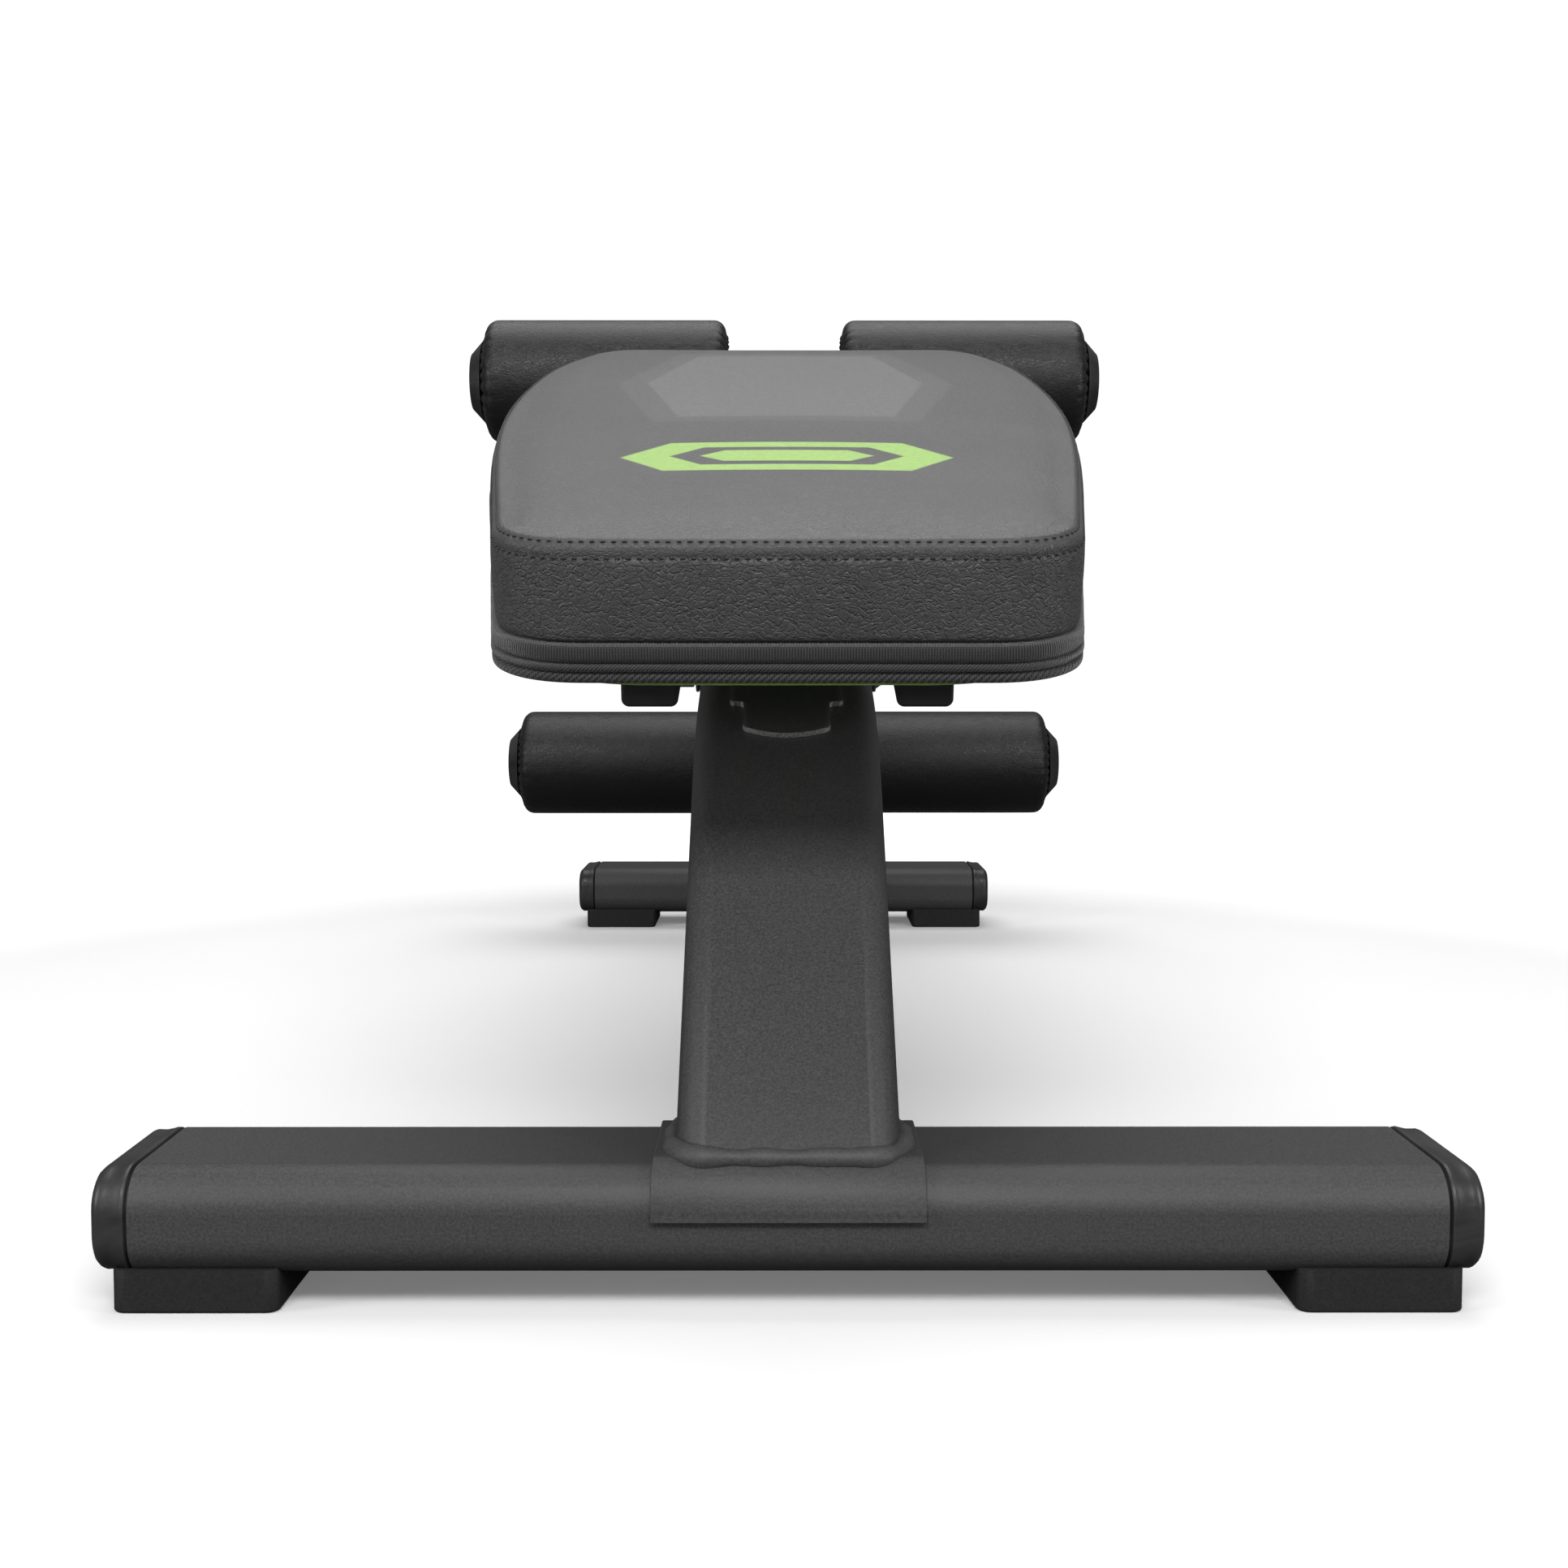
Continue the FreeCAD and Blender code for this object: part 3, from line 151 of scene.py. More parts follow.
class RollerSettings(bpy.types.PropertyGroup):
    """Sizes of the gathered leather covers of the foam rollers."""
    pleats: IntProperty(name="Pleats", description="Pleats round each gathered end", default=27)
    pleat_depth: FloatProperty(name="Pleat depth", description="Depth of a pleat at the hem",
                               default=2.6 * MM, unit="LENGTH")
    shoulder: FloatProperty(name="Shoulder", description="Rounding of the drum's ends",
                            default=13.0 * MM, unit="LENGTH")
    hem_radius: FloatProperty(name="Hem radius", description="Radius of the gathered hem",
                              default=37.0 * MM, unit="LENGTH")


class TrimSettings(bpy.types.PropertyGroup):
    """Sizes of the end caps and weld beads."""
    cap_gap: FloatProperty(name="Cap gap", description="Shadow gap between tube and cap",
                           default=1.3 * MM, unit="LENGTH")
    cap_corner: FloatProperty(name="Cap corner", description="Corner radius of the cap's profile",
                              default=18.0 * MM, unit="LENGTH")
    bead_radius: FloatProperty(name="Bead radius", description="Half the weld bead's width",
                               default=4.8 * MM, unit="LENGTH")
    leg_angle: FloatProperty(name="Leg angle", description="Slope of the main tube's leg",
                             default=math.radians(41.0), subtype="ANGLE")
    bend_radius: FloatProperty(name="Bend radius", description="Outer radius of the plate's bend",
                               default=276.5 * MM, unit="LENGTH")
    edge_break: FloatProperty(name="Edge break", description="Small bevel on metal edges",
                              default=0.6 * MM, unit="LENGTH")


class FinishSettings(bpy.types.PropertyGroup):
    """Colours of the bench."""
    coat: FloatVectorProperty(name="Powder coat", description="Colour of the painted frame",
                              default=(0.050, 0.050, 0.051), subtype="COLOR")
    pad: FloatVectorProperty(name="Pad leather", description="Colour of the pad's cover",
                             default=(0.070, 0.070, 0.071), subtype="COLOR")
    roller: FloatVectorProperty(name="Roller leather", description="Colour of the rollers",
                                default=(0.010, 0.010, 0.0105), subtype="COLOR")
    lime: FloatVectorProperty(name="Lime", description="Colour of the board and badge",
                              default=(0.36, 0.60, 0.14), subtype="COLOR")
    panel: FloatVectorProperty(name="Panel grey", description="Colour of the printed panel",
                               default=(0.135, 0.135, 0.137), subtype="COLOR")


class StageSettings(bpy.types.PropertyGroup):
    """Camera and lights."""
    eye: FloatVectorProperty(name="Eye", description="Where the camera stands",
                             default=(-0.0035, -1.4825, 0.2794), subtype="XYZ", unit="LENGTH")
    pitch: FloatProperty(name="Pitch", description="How far the camera looks down",
                         default=math.radians(3.558), subtype="ANGLE")
    yaw: FloatProperty(name="Yaw", description="How far the camera looks to the right",
                       default=math.radians(0.11), subtype="ANGLE")
    lens: FloatProperty(name="Lens", description="Focal length on a 36 mm sensor",
                        default=44.72, unit="CAMERA")
    sky: FloatProperty(name="Sky", description="Strength of the white surroundings", default=0.10)
    power: FloatProperty(name="Power", description="Power that the softboxes share out",
                         default=58.0, unit="POWER")


# ---------------------------------------------------------------- mesh helpers

def make_piece(name, points, faces, material, body, placing=None, smooth=True):
    """Make one mesh object from plain lists and let it ride on a body."""
    mesh = bpy.data.meshes.new(name)
    mesh.from_pydata([tuple(p) for p in points], [], faces)
    mesh.update()
    mesh.polygons.foreach_set("use_smooth", [smooth] * len(mesh.polygons))
    piece = bpy.data.objects.new(name, mesh)
    bpy.context.scene.collection.objects.link(piece)
    mesh.materials.append(material)
    piece.matrix_world = placing or Matrix.Identity(4)
    if body:
        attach(piece, body)
    return piece


def ring_faces(rings, around, closed=True, first=0):
    """Return quads between rings of points, each ring with the same number of points."""
    last = around if closed else around - 1
    return [(first + i * around + j, first + i * around + (j + 1) % around,
             first + (i + 1) * around + (j + 1) % around, first + (i + 1) * around + j)
            for i in range(rings - 1) for j in range(last)]


def resample(line, count, closed=True):
    """Return points at even distances along a line of points."""
    line = np.asarray(line, float)
    if closed:
        line = np.vstack([line, line[:1]])
    run = np.concatenate([[0.0], np.cumsum(np.linalg.norm(np.diff(line, axis=0), axis=1))])
    at = np.linspace(0.0, run[-1], count + 1 if closed else count)
    made = np.stack([np.interp(at, run, line[:, k]) for k in range(line.shape[1])], axis=1)
    return made[:-1] if closed else made


def relaxed(line, rounds):
    """Return a closed line smoothed a few times."""
    for _ in range(rounds):
        line = 0.5 * line + 0.25 * (np.roll(line, 1, axis=0) + np.roll(line, -1, axis=0))
    return line


def length_round(line):
    """Return the length of a closed line."""
    return np.linalg.norm(np.roll(line, -1, axis=0) - line, axis=1).sum()


def tube_faces(rings, sides, first=0):
    """Return the faces of a tube made of rings, with both ends closed."""
    last = first + (rings - 1) * sides
    return ring_faces(rings, sides, first=first) + [
        tuple(range(first, first + sides))[::-1], tuple(range(last, last + sides))]


def soften(piece):
    """Round a piece off with one level of subdivision."""
    smooth = piece.modifiers.new("smooth", "SUBSURF")
    smooth.levels = smooth.render_levels = 1


def outward(loop):
    """Return the outward unit normals of a closed loop in a plane, counter-clockwise."""
    along = np.roll(loop, -1, axis=0) - np.roll(loop, 1, axis=0)
    normal = np.stack([along[:, 1], -along[:, 0]], axis=1)
    return normal / np.linalg.norm(normal, axis=1)[:, None]


def ripple(values, seed, waves):
    """Return smooth repeatable unevenness between -1 and 1 for angles or lengths."""
    rng = np.random.default_rng(seed)
    total = np.zeros_like(values)
    for wave in waves:
        total += rng.uniform(0.5, 1.0) * np.sin(wave * values + rng.uniform(0, WAVE_ROUND))
    return total / len(waves)


def rounded_section(width, height, corner, per_corner=10, per_side=6):
    """Return a counter-clockwise rounded rectangle round the origin."""
    points = []
    for turn, (sx, sy) in enumerate(((1, 1), (-1, 1), (-1, -1), (1, -1))):
        cx, cy = sx * (width / 2 - corner), sy * (height / 2 - corner)
        for k in range(per_corner + 1):
            angle = math.radians(90) * (turn + k / per_corner)
            points.append((cx + corner * math.cos(angle), cy + corner * math.sin(angle)))
    return resample(points, 4 * (per_corner + per_side))


def deck_frame():
    """Return the matrix of the deck: origin on the pad's hinge axis, Y up along the pad."""
    low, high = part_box("hinge_pin")
    middle = (low + high) / 2
    angle = bpy.context.scene.bench_cushion.deck_angle
    return Matrix.Translation((0, middle.y, middle.z)) @ Matrix.Rotation(angle, 4, "X")


def node_points(name, placing):
    """Return a CAD node's points in a placing's own frame."""
    inverse = placing.inverted()
    return np.array([inverse @ v.co for v in NODES[name].data.vertices])


# ---------------------------------------------------------------- material helpers

class Recipe:
    """One node material, made step by step."""

    def __init__(self, name, metallic=0.0, specular=0.5, coat=0.0, coat_roughness=0.2, sheen=0.0):
        self.material = bpy.data.materials.new(name)
        self.material.use_nodes = True
        self.tree = self.material.node_tree
        self.shader = self.tree.nodes["Principled BSDF"]
        for socket, value in (("Metallic", metallic), ("Specular IOR Level", specular),
                              ("Coat Weight", coat), ("Coat Roughness", coat_roughness),
                              ("Sheen Weight", sheen), ("Sheen Roughness", 0.4)):
            self.shader.inputs[socket].default_value = value
        self.place = self.add("ShaderNodeTexCoord").outputs["Object"]

    def add(self, kind, settings=None, **inputs):
        made = self.tree.nodes.new(kind)
        for key, value in (settings or {}).items():
            setattr(made, key, value)
        for key, value in inputs.items():
            self.feed(made.inputs[key.replace("_", " ")], value)
        return made

    def feed(self, socket, value):
        if isinstance(value, bpy.types.NodeSocket):
            self.tree.links.new(value, socket)
        else:
            socket.default_value = value

    def stretched(self, x, y, z):
        made = self.add("ShaderNodeMapping", Vector=self.place, Scale=(x, y, z))
        return made.outputs["Vector"]

    def noise(self, scale, detail=2.0, rough=0.5, place=None, twist=0.0):
        made = self.add("ShaderNodeTexNoise", Vector=place or self.place, Scale=scale,
                        Detail=detail, Roughness=rough, Distortion=twist)
        return made.outputs["Fac"]

    def cells(self, scale, place):
        """Return the distance to the edges of irregular cells."""
        made = self.add("ShaderNodeTexVoronoi", {"feature": "DISTANCE_TO_EDGE"},
                        Vector=place, Scale=scale)
        return made.outputs["Distance"]

    def calc(self, kind, a, b=0.0, clamp=False):
        made = self.add("ShaderNodeMath", {"operation": kind, "use_clamp": clamp})
        self.feed(made.inputs[0], a)
        self.feed(made.inputs[1], b)
        return made.outputs[0]

    def span(self, value, low, high, start=0.0, end=1.0):
        made = self.add("ShaderNodeMapRange", {"clamp": True}, Value=value, From_Min=low,
                        From_Max=high, To_Min=start, To_Max=end)
        return made.outputs["Result"]

    def blend(self, share, a, b):
        made = self.add("ShaderNodeMix", {"data_type": "RGBA"})
        for index, value in ((0, share), (6, a), (7, b)):
            self.feed(made.inputs[index], value)
        return made.outputs[2]

    def mottle(self, pattern, low, high, dark, light):
        """Mix two colours by where a pattern lies between two levels."""
        return self.blend(self.span(pattern, low, high), dark, light)

    def tint(self, pattern, low, high, most, under, over):
        """Lay a colour over another where a pattern is high, up to a share."""
        return self.blend(self.span(pattern, low, high, 0.0, most), under, over)

    def relief(self, height, strength, depth, under=None):
        made = self.add("ShaderNodeBump", Height=height, Strength=strength, Distance=depth)
        if under:
            self.feed(made.inputs["Normal"], under)
        return made.outputs["Normal"]

    def done(self, colour, roughness, normal):
        self.feed(self.shader.inputs["Base Color"], colour)
        self.feed(self.shader.inputs["Roughness"], roughness)
        self.feed(self.shader.inputs["Normal"], normal)
        return self.material


def shade(colour, factor):
    """Return a colour made lighter or darker, with full alpha."""
    return tuple(min(1.0, c * factor) for c in colour) + (1.0,)


def powder_coat():
    """Fine-textured charcoal powder coat, a little lighter on sharp convex edges."""
    made = Recipe("powder_coat", specular=0.42)
    colour = bpy.context.scene.bench_finish.coat
    grain = made.noise(820.0, 3.0, 0.65)
    cloud = made.noise(7.0, 3.0, 0.5)
    tone = made.mottle(grain, 0.36, 0.70, shade(colour, 0.62), shade(colour, 1.5))
    tone = made.tint(cloud, 0.3, 0.7, 0.35, tone, shade(colour, 1.12))
    # lighter on sharp convex edges, picked out by the mesh's pointiness
    convex_edges = made.add("ShaderNodeNewGeometry").outputs["Pointiness"]
    tone = made.tint(convex_edges, 0.53, 0.60, 0.6, tone, shade(colour, 2.6))
    normal = made.relief(grain, 0.42, 0.5 * MM)
    return made.done(tone, made.span(grain, 0.3, 0.7, 0.44, 0.60), normal)


def cut_edge():
    """Thinly painted laser-cut edge, coloured light grey as a painted highlight where it catches
    the light.
    """
    made = Recipe("cut_edge", metallic=0.5, specular=0.5)
    marks = made.noise(900.0, 3.0, 0.6)
    # light grey up to 0.62: thin paint on the cut metal, plus a painted highlight for the light the
    # edge reflects
    tone = made.mottle(marks, 0.35, 0.7, (0.22, 0.22, 0.22, 1), (0.62, 0.62, 0.62, 1))
    return made.done(tone, made.span(marks, 0.3, 0.7, 0.3, 0.5), made.relief(marks, 0.3, 0.2 * MM))


def satin_paint():
    """Smooth black paint of the axles."""
    made = Recipe("axle_paint", specular=0.5)
    grain = made.noise(420.0, 2.0)
    scuff = made.noise(60.0, 6.0, 0.7, made.stretched(1.0, 9.0, 9.0))
    tone = made.tint(scuff, 0.52, 0.75, 0.5, (0.018, 0.018, 0.019, 1),
                      (0.07, 0.07, 0.072, 1))
    return made.done(tone, made.span(scuff, 0.3, 0.7, 0.32, 0.5),
                     made.relief(grain, 0.12, 0.2 * MM))


def moulded_plastic(name, colour, low, high, grain_scale, grain_strength, coat=0.0):
    """Moulded black plastic with faint flow marks and a fine grain."""
    made = Recipe(name, specular=0.5, coat=coat, coat_roughness=0.16)
    flow = made.noise(26.0, 4.0, 0.6, made.stretched(1.0, 1.0, 2.2), 0.6)
    grain = made.noise(grain_scale, 3.0, 0.6)
    tone = made.mottle(flow, 0.35, 0.7, shade(colour, 0.75), shade(colour, 1.5))
    convex_edges = made.add("ShaderNodeNewGeometry").outputs["Pointiness"]
    # lighter on sharp convex edges, picked out by the mesh's pointiness
    tone = made.tint(convex_edges, 0.54, 0.62, 0.5, tone, shade(colour, 3.0))
    normal = made.relief(grain, grain_strength, 0.3 * MM)
    normal = made.relief(flow, 0.16, 1.4 * MM, normal)
    return made.done(tone, made.span(flow, 0.3, 0.7, low, high), normal)


def rubber():
    """Matt dusty rubber of the feet."""
    made = Recipe("foot_rubber", specular=0.3)
    grain = made.noise(900.0, 4.0, 0.7)
    dust = made.noise(38.0, 6.0, 0.72)
    tone = made.mottle(grain, 0.3, 0.7, (0.013, 0.013, 0.013, 1), (0.026, 0.026, 0.026, 1))
    tone = made.tint(dust, 0.55, 0.8, 0.5, tone, (0.05, 0.05, 0.049, 1))
    return made.done(tone, made.span(dust, 0.3, 0.7, 0.62, 0.82), made.relief(grain, 0.4, 0.3 * MM))


def brushed_metal(name, colour, roughness):
    """Plated or turned metal with fine marks round it."""
    made = Recipe(name, metallic=1.0)
    marks = made.noise(140.0, 5.0, 0.7, made.stretched(9.0, 1.0, 1.0))
    spots = made.noise(320.0, 3.0, 0.6)
    tone = made.mottle(marks, 0.3, 0.7, shade(colour, 0.7), shade(colour, 1.35))
    tone = made.tint(spots, 0.6, 0.8, 0.5, tone, shade(colour, 0.4))
    return made.done(tone, made.span(marks, 0.3, 0.7, roughness * 0.8, roughness * 1.3),
                     made.relief(marks, 0.2, 0.1 * MM))


def lime_board():
    """Lime-stained board: long grain along the pad, sealed satin, its lime lifted above its own
    colour as painted light on the edge that lies in the band's shadow.
    """
    made = Recipe("lime_board", specular=0.4, coat=0.15)
    colour = bpy.context.scene.bench_finish.lime
    grain = made.noise(120.0, 5.0, 0.6, made.stretched(1.0, 0.12, 1.6), 0.8)
    plies = made.noise(330.0, 1.0, 0.5, made.stretched(0.02, 0.02, 1.0))
    # painted light: the lime is lifted to 1.3 to 1.65 times its colour so that the shaded edge
    # looks lit
    tone = made.mottle(grain, 0.3, 0.72, shade(colour, 1.3), shade(colour, 1.65))
    tone = made.tint(plies, 0.45, 0.6, 0.25, tone, shade(colour, 1.1))
    rough = made.span(grain, 0.3, 0.7, 0.36, 0.52)
    return made.done(tone, rough, made.relief(grain, 0.2, 0.3 * MM))


def leather(name, colour, pebble, crease, gloss, sheen):
    """Return a leather recipe with its colour, roughness, relief and creases, the creases darkened
    as painted shade.
    """
    made = Recipe(name, specular=0.46, sheen=sheen)
    warp = made.add("ShaderNodeVectorMath", {"operation": "MULTIPLY_ADD"})
    drift = made.add("ShaderNodeTexNoise", Vector=made.place, Scale=90.0, Detail=3.0)
    made.feed(warp.inputs[0], drift.outputs["Color"])
    warp.inputs[1].default_value = (0.012, 0.012, 0.012)
    made.feed(warp.inputs[2], made.place)
    bent = warp.outputs["Vector"]
    pores = made.span(made.cells(pebble, bent), 0.0, 0.16)
    fine = made.noise(pebble * 1.7, 3.0, 0.6)
    folds_at = made.add("ShaderNodeMapping", Vector=bent, Scale=(1.0, 1.0, 2.0)).outputs["Vector"]
    folds = made.span(made.cells(crease, folds_at), 0.0, 0.13)
    cloud = made.noise(11.0, 4.0, 0.55)
    tone = made.mottle(cloud, 0.3, 0.7, shade(colour, 0.9), shade(colour, 1.12))
    tone = made.tint(fine, 0.35, 0.7, 0.4, tone, shade(colour, 0.72))
    # painted shade: the colour darkens to 0.55 down in the creases
    tone = made.blend(made.span(folds, 0.0, 1.0, 0.35, 0.0), tone, shade(colour, 0.55))
    rough = made.calc("ADD", made.span(fine, 0.3, 0.7, gloss, gloss + 0.12),
                      made.span(pores, 0.0, 1.0, 0.1, 0.0))
    normal = made.relief(pores, 0.30, 0.22 * MM)
    normal = made.relief(fine, 0.22, 0.2 * MM, normal)
    return made, tone, rough, normal, folds


def hexagon_mask(made, x, y, name):
    """Return 1 inside one of the hexagons lying on the pad, with a soft edge."""
    from_end, half_wide, half_long, slant, edge = HEXAGONS[name]
    middle = NODE_ENDS["pad"][0] + from_end
    across = made.calc("DIVIDE", made.calc("ABSOLUTE", x), half_wide)
    away = made.calc("ABSOLUTE", made.calc("SUBTRACT", y, middle))
    along = made.calc("DIVIDE", away, half_long)
    tip = made.calc("ADD", across, made.calc("MULTIPLY", along, slant))
    far = made.calc("MAXIMUM", tip, along)
    return made.span(far, 1.0 + edge, 1.0 - edge)


def pad_leather():
    """Charcoal leather with a grey hexagon field and a lime hexagon badge, both generic."""
    looks = bpy.context.scene.bench_finish
    made, tone, rough, normal, folds = leather("pad_leather", looks.pad, 640.0, 235.0, 0.37, 0.05)
    spot = made.add("ShaderNodeSeparateXYZ", Vector=made.place).outputs
    masks = {name: hexagon_mask(made, spot["X"], spot["Y"], name) for name in HEXAGONS}
    top = made.span(spot["Z"], *PRINT_HEIGHTS)
    ink = made.noise(300.0, 3.0, 0.6)
    grey = made.mottle(ink, 0.3, 0.7, shade(looks.panel, 0.85), shade(looks.panel, 1.1))
    lime = made.mottle(ink, 0.3, 0.7, shade(looks.lime, 0.92), shade(looks.lime, 1.08))
    halo = made.span(masks["field"], 0.0, 1.0, 0.0, 0.35)
    ring = made.calc("SUBTRACT", masks["badge"], masks["window"])
    mark = made.calc("ADD", ring, masks["dot"], True)
    for print_mask, ink_colour in ((halo, grey), (masks["core"], grey), (mark, lime)):
        tone = made.blend(made.calc("MULTIPLY", top, print_mask), tone, ink_colour)
    side = made.span(spot["Z"], *CREASE_HEIGHTS)
    height = made.calc("MULTIPLY", folds, made.span(side, 0.0, 1.0, 0.25, 1.0))
    normal = made.relief(height, 0.8, 0.5 * MM, normal)
    return made.done(tone, rough, normal)


def roller_leather():
    """Soft black leather of the rollers."""
    looks = bpy.context.scene.bench_finish
    made, tone, rough, normal, folds = leather("roller_leather", looks.roller, 560.0, 210.0,
                                               0.30, 0.03)
    return made.done(tone, rough, made.relief(folds, 0.3, 0.4 * MM, normal))


def woven(name, lines, slanted):
    """Black webbing with a fine weave laid out along its own length."""
    made = Recipe(name, specular=0.25, sheen=0.5)
    run = made.add("ShaderNodeTexCoord").outputs["UV"]
    kind = {"wave_type": "BANDS", "bands_direction": "DIAGONAL" if slanted else "X"}
    first = made.add("ShaderNodeTexWave", kind, Vector=run, Scale=lines, Distortion=0.5,
                     Detail=1.0, Detail_Scale=4.0).outputs["Fac"]
    other = dict(kind, bands_direction="Y" if not slanted else "X")
    second = made.add("ShaderNodeTexWave", other, Vector=run, Scale=lines * 1.4,
                      Distortion=0.4).outputs["Fac"]
    weave = made.calc("MAXIMUM", first, made.calc("MULTIPLY", second, 0.7))
    fluff = made.noise(900.0, 4.0, 0.7)
    tone = made.mottle(weave, 0.25, 0.9, (0.004, 0.004, 0.004, 1), (0.06, 0.06, 0.061, 1))
    tone = made.tint(fluff, 0.5, 0.8, 0.4, tone, (0.09, 0.09, 0.091, 1))
    return made.done(tone, made.span(fluff, 0.3, 0.7, 0.6, 0.85), made.relief(weave, 0.8, 0.5 * MM))


def thread():
    """Black bonded thread."""
    made = Recipe("pad_thread", specular=0.4, sheen=0.4)
    ply = made.noise(1900.0, 2.0, 0.6)
    tone = made.mottle(ply, 0.3, 0.7, (0.004, 0.004, 0.004, 1), (0.02, 0.02, 0.02, 1))
    return made.done(tone, made.span(ply, 0.3, 0.7, 0.5, 0.7), made.relief(ply, 0.5, 0.2 * MM))


def finish(name, maker, *values):
    """Return a finish by name, made once."""
    if name not in FINISHES:
        FINISHES[name] = maker(*values)
    return FINISHES[name]


def slot_finish(slot):
    """Return the finish of one material slot of the record."""
    black, grey = (0.016, 0.016, 0.017), (0.027, 0.027, 0.028)
    makers = {
        "frame_paint": (powder_coat,),
        "axle_steel": (satin_paint,),
        "end_cap_plastic": (moulded_plastic, "end_cap_plastic", grey, 0.36, 0.50, 700.0, 0.12, 0.1),
        "spacer_plastic": (moulded_plastic, "spacer_plastic", black, 0.4, 0.55, 900.0, 0.2),
        "knob_plastic": (moulded_plastic, "knob_plastic", black, 0.35, 0.5, 1100.0, 0.3),
        "foot_rubber": (rubber,),
        "fastener_zinc": (brushed_metal, "fastener_zinc", (0.30, 0.30, 0.31), 0.32),
        "board_lime": (lime_board,),
        "roller_foam": (rubber,),
        "roller_leather": (roller_leather,),
        "pad_leather": (pad_leather,),
        "band_fabric": (woven, "band_twill", 190.0, True),
    }
    return finish(slot, *makers[slot])


# ---------------------------------------------------------------- pieces

def plan_corners(loop):
    """Return the indices of a loop's four corners, from the near right one, counter-clockwise."""
    middle = (loop.max(axis=0) + loop.min(axis=0)) / 2
    half = (loop.max(axis=0) - loop.min(axis=0)) / 2
    scaled = (loop - middle) / half
    return [int(np.argmax(scaled @ np.array(way))) for way in ((-1, -1), (1, -1), (1, 1), (-1, 1))]


def pad_plan():
    """Return the points of the pad's outline, counter-clockwise, and their outward normals."""
    points = node_points("pad_cushion", deck_frame())
    rim = points[points[:, 2] < points[:, 2].min() + 0.5 * MM]
    hull = geometry.convex_hull_2d([Vector(p[:2]) for p in rim])
    loop = resample(rim[hull][:, :2], 900)
    area = np.sum(loop[:, 0] * np.roll(loop[:, 1], -1) - np.roll(loop[:, 0], -1) * loop[:, 1])
    if area < 0:
        loop = loop[::-1]
    loop = relaxed(loop, 6)
    corners = plan_corners(loop)
    sides = []
    for k, count in enumerate((RIM_ACROSS, RIM_ALONG) * 2):
        start, stop = corners[k], corners[(k + 1) % 4]
        stop += len(loop) if stop <= start else 0
        run = loop[np.arange(start, stop + 1) % len(loop)]
        sides.append(resample(run, count + 1, closed=False)[:-1])
    loop = np.vstack(sides)
    return loop, outward(loop)


def patch(rim):
    """Fill the pad's rim with a grid of points that blends its four sides."""
    n, across, along = len(rim), RIM_ACROSS, RIM_ALONG
    near = rim[:across + 1]
    right = rim[across:across + along + 1]
    far = rim[np.arange(across + along, 2 * across + along + 1)][::-1]
    left = rim[np.arange(2 * across + along, n + 1) % n][::-1]
    u = np.linspace(0, 1, across + 1)[:, None, None]
    v = np.linspace(0, 1, along + 1)[None, :, None]
    grid = ((1 - v) * near[:, None] + v * far[:, None] + (1 - u) * left[None] + u * right[None]
            - (1 - u) * (1 - v) * near[0] - u * (1 - v) * near[-1]
            - (1 - u) * v * far[0] - u * v * far[-1])
    return grid


def patch_mesh(rim, rim_index, first, flip):
    """Return the patch's inner points and its faces, which join the rim's own points."""
    grid = patch(rim)
    inner = grid[1:-1, 1:-1].reshape(-1, grid.shape[2])
    n, across, along = len(rim), RIM_ACROSS, RIM_ALONG

    def index(i, j):
        if j == 0:
            return rim_index + i
        if i == across:
            return rim_index + across + j
        if j == along:
            return rim_index + 2 * across + along - i
        if i == 0:
            return rim_index + (n - j) % n
        return first + (i - 1) * (along - 1) + (j - 1)

    faces = [(index(i, j), index(i + 1, j), index(i + 1, j + 1), index(i, j + 1))
             for i in range(across) for j in range(along)]
    return inner, [face[::-1] for face in faces] if flip else faces


def swell(piece, sewn, cushion):
    """Blow a piece up by cloth simulation, held where it is sewn, and keep the result."""
    group = piece.vertex_groups.new(name="sewn")
    group.add([int(i) for i in sewn], 1.0, "REPLACE")
    cloth = piece.modifiers.new("swell", "CLOTH")
    settings = cloth.settings
    settings.quality = 6
    settings.mass = 0.25
    settings.bending_stiffness = 1.2
    settings.use_pressure = True
    settings.uniform_pressure_force = cushion.pressure
    settings.effector_weights.gravity = 0.0
    settings.vertex_group_mass = "sewn"
    scene = bpy.context.scene
    rest = read_points(piece.data)
    for step in range(1, cushion.steps + 1):
        scene.frame_set(step)
    swollen = read_points(piece.evaluated_get(bpy.context.evaluated_depsgraph_get()).to_mesh())
    piece.modifiers.remove(cloth)
    scene.frame_set(1)
    if not np.isfinite(swollen).all():
        raise RuntimeError("the cushion's swelling did not settle")
    move = swollen - rest
    reach = np.linalg.norm(move, axis=1)[:, None] + 1e-9
    move *= cushion.swell * (reach / reach.max()) ** FULLNESS / reach
    return rest + even_out(piece.data, move, sewn)


def even_out(mesh, move, sewn):
    """Spread a move over neighbouring points, leaving the sewn points where they are."""
    ends = np.array([tuple(edge.vertices) for edge in mesh.edges])
    count = np.bincount(ends.ravel(), minlength=len(move))[:, None]
    free = np.ones(len(move), bool)
    free[list(sewn)] = False
    for _ in range(EVEN_ROUNDS):
        total = np.zeros_like(move)
        np.add.at(total, ends[:, 0], move[ends[:, 1]])
        np.add.at(total, ends[:, 1], move[ends[:, 0]])
        move[free] = 0.5 * (move + total / count)[free]
    return move


def read_points(mesh):
    """Return a mesh's points as an array."""
    flat = np.zeros(len(mesh.vertices) * 3, np.float32)
    mesh.vertices.foreach_get("co", flat)
    return flat.reshape(-1, 3).astype(float)


def write_points(mesh, points):
    """Give a mesh new places for its points."""
    mesh.vertices.foreach_set("co", np.asarray(points, np.float32).ravel())
    mesh.update()


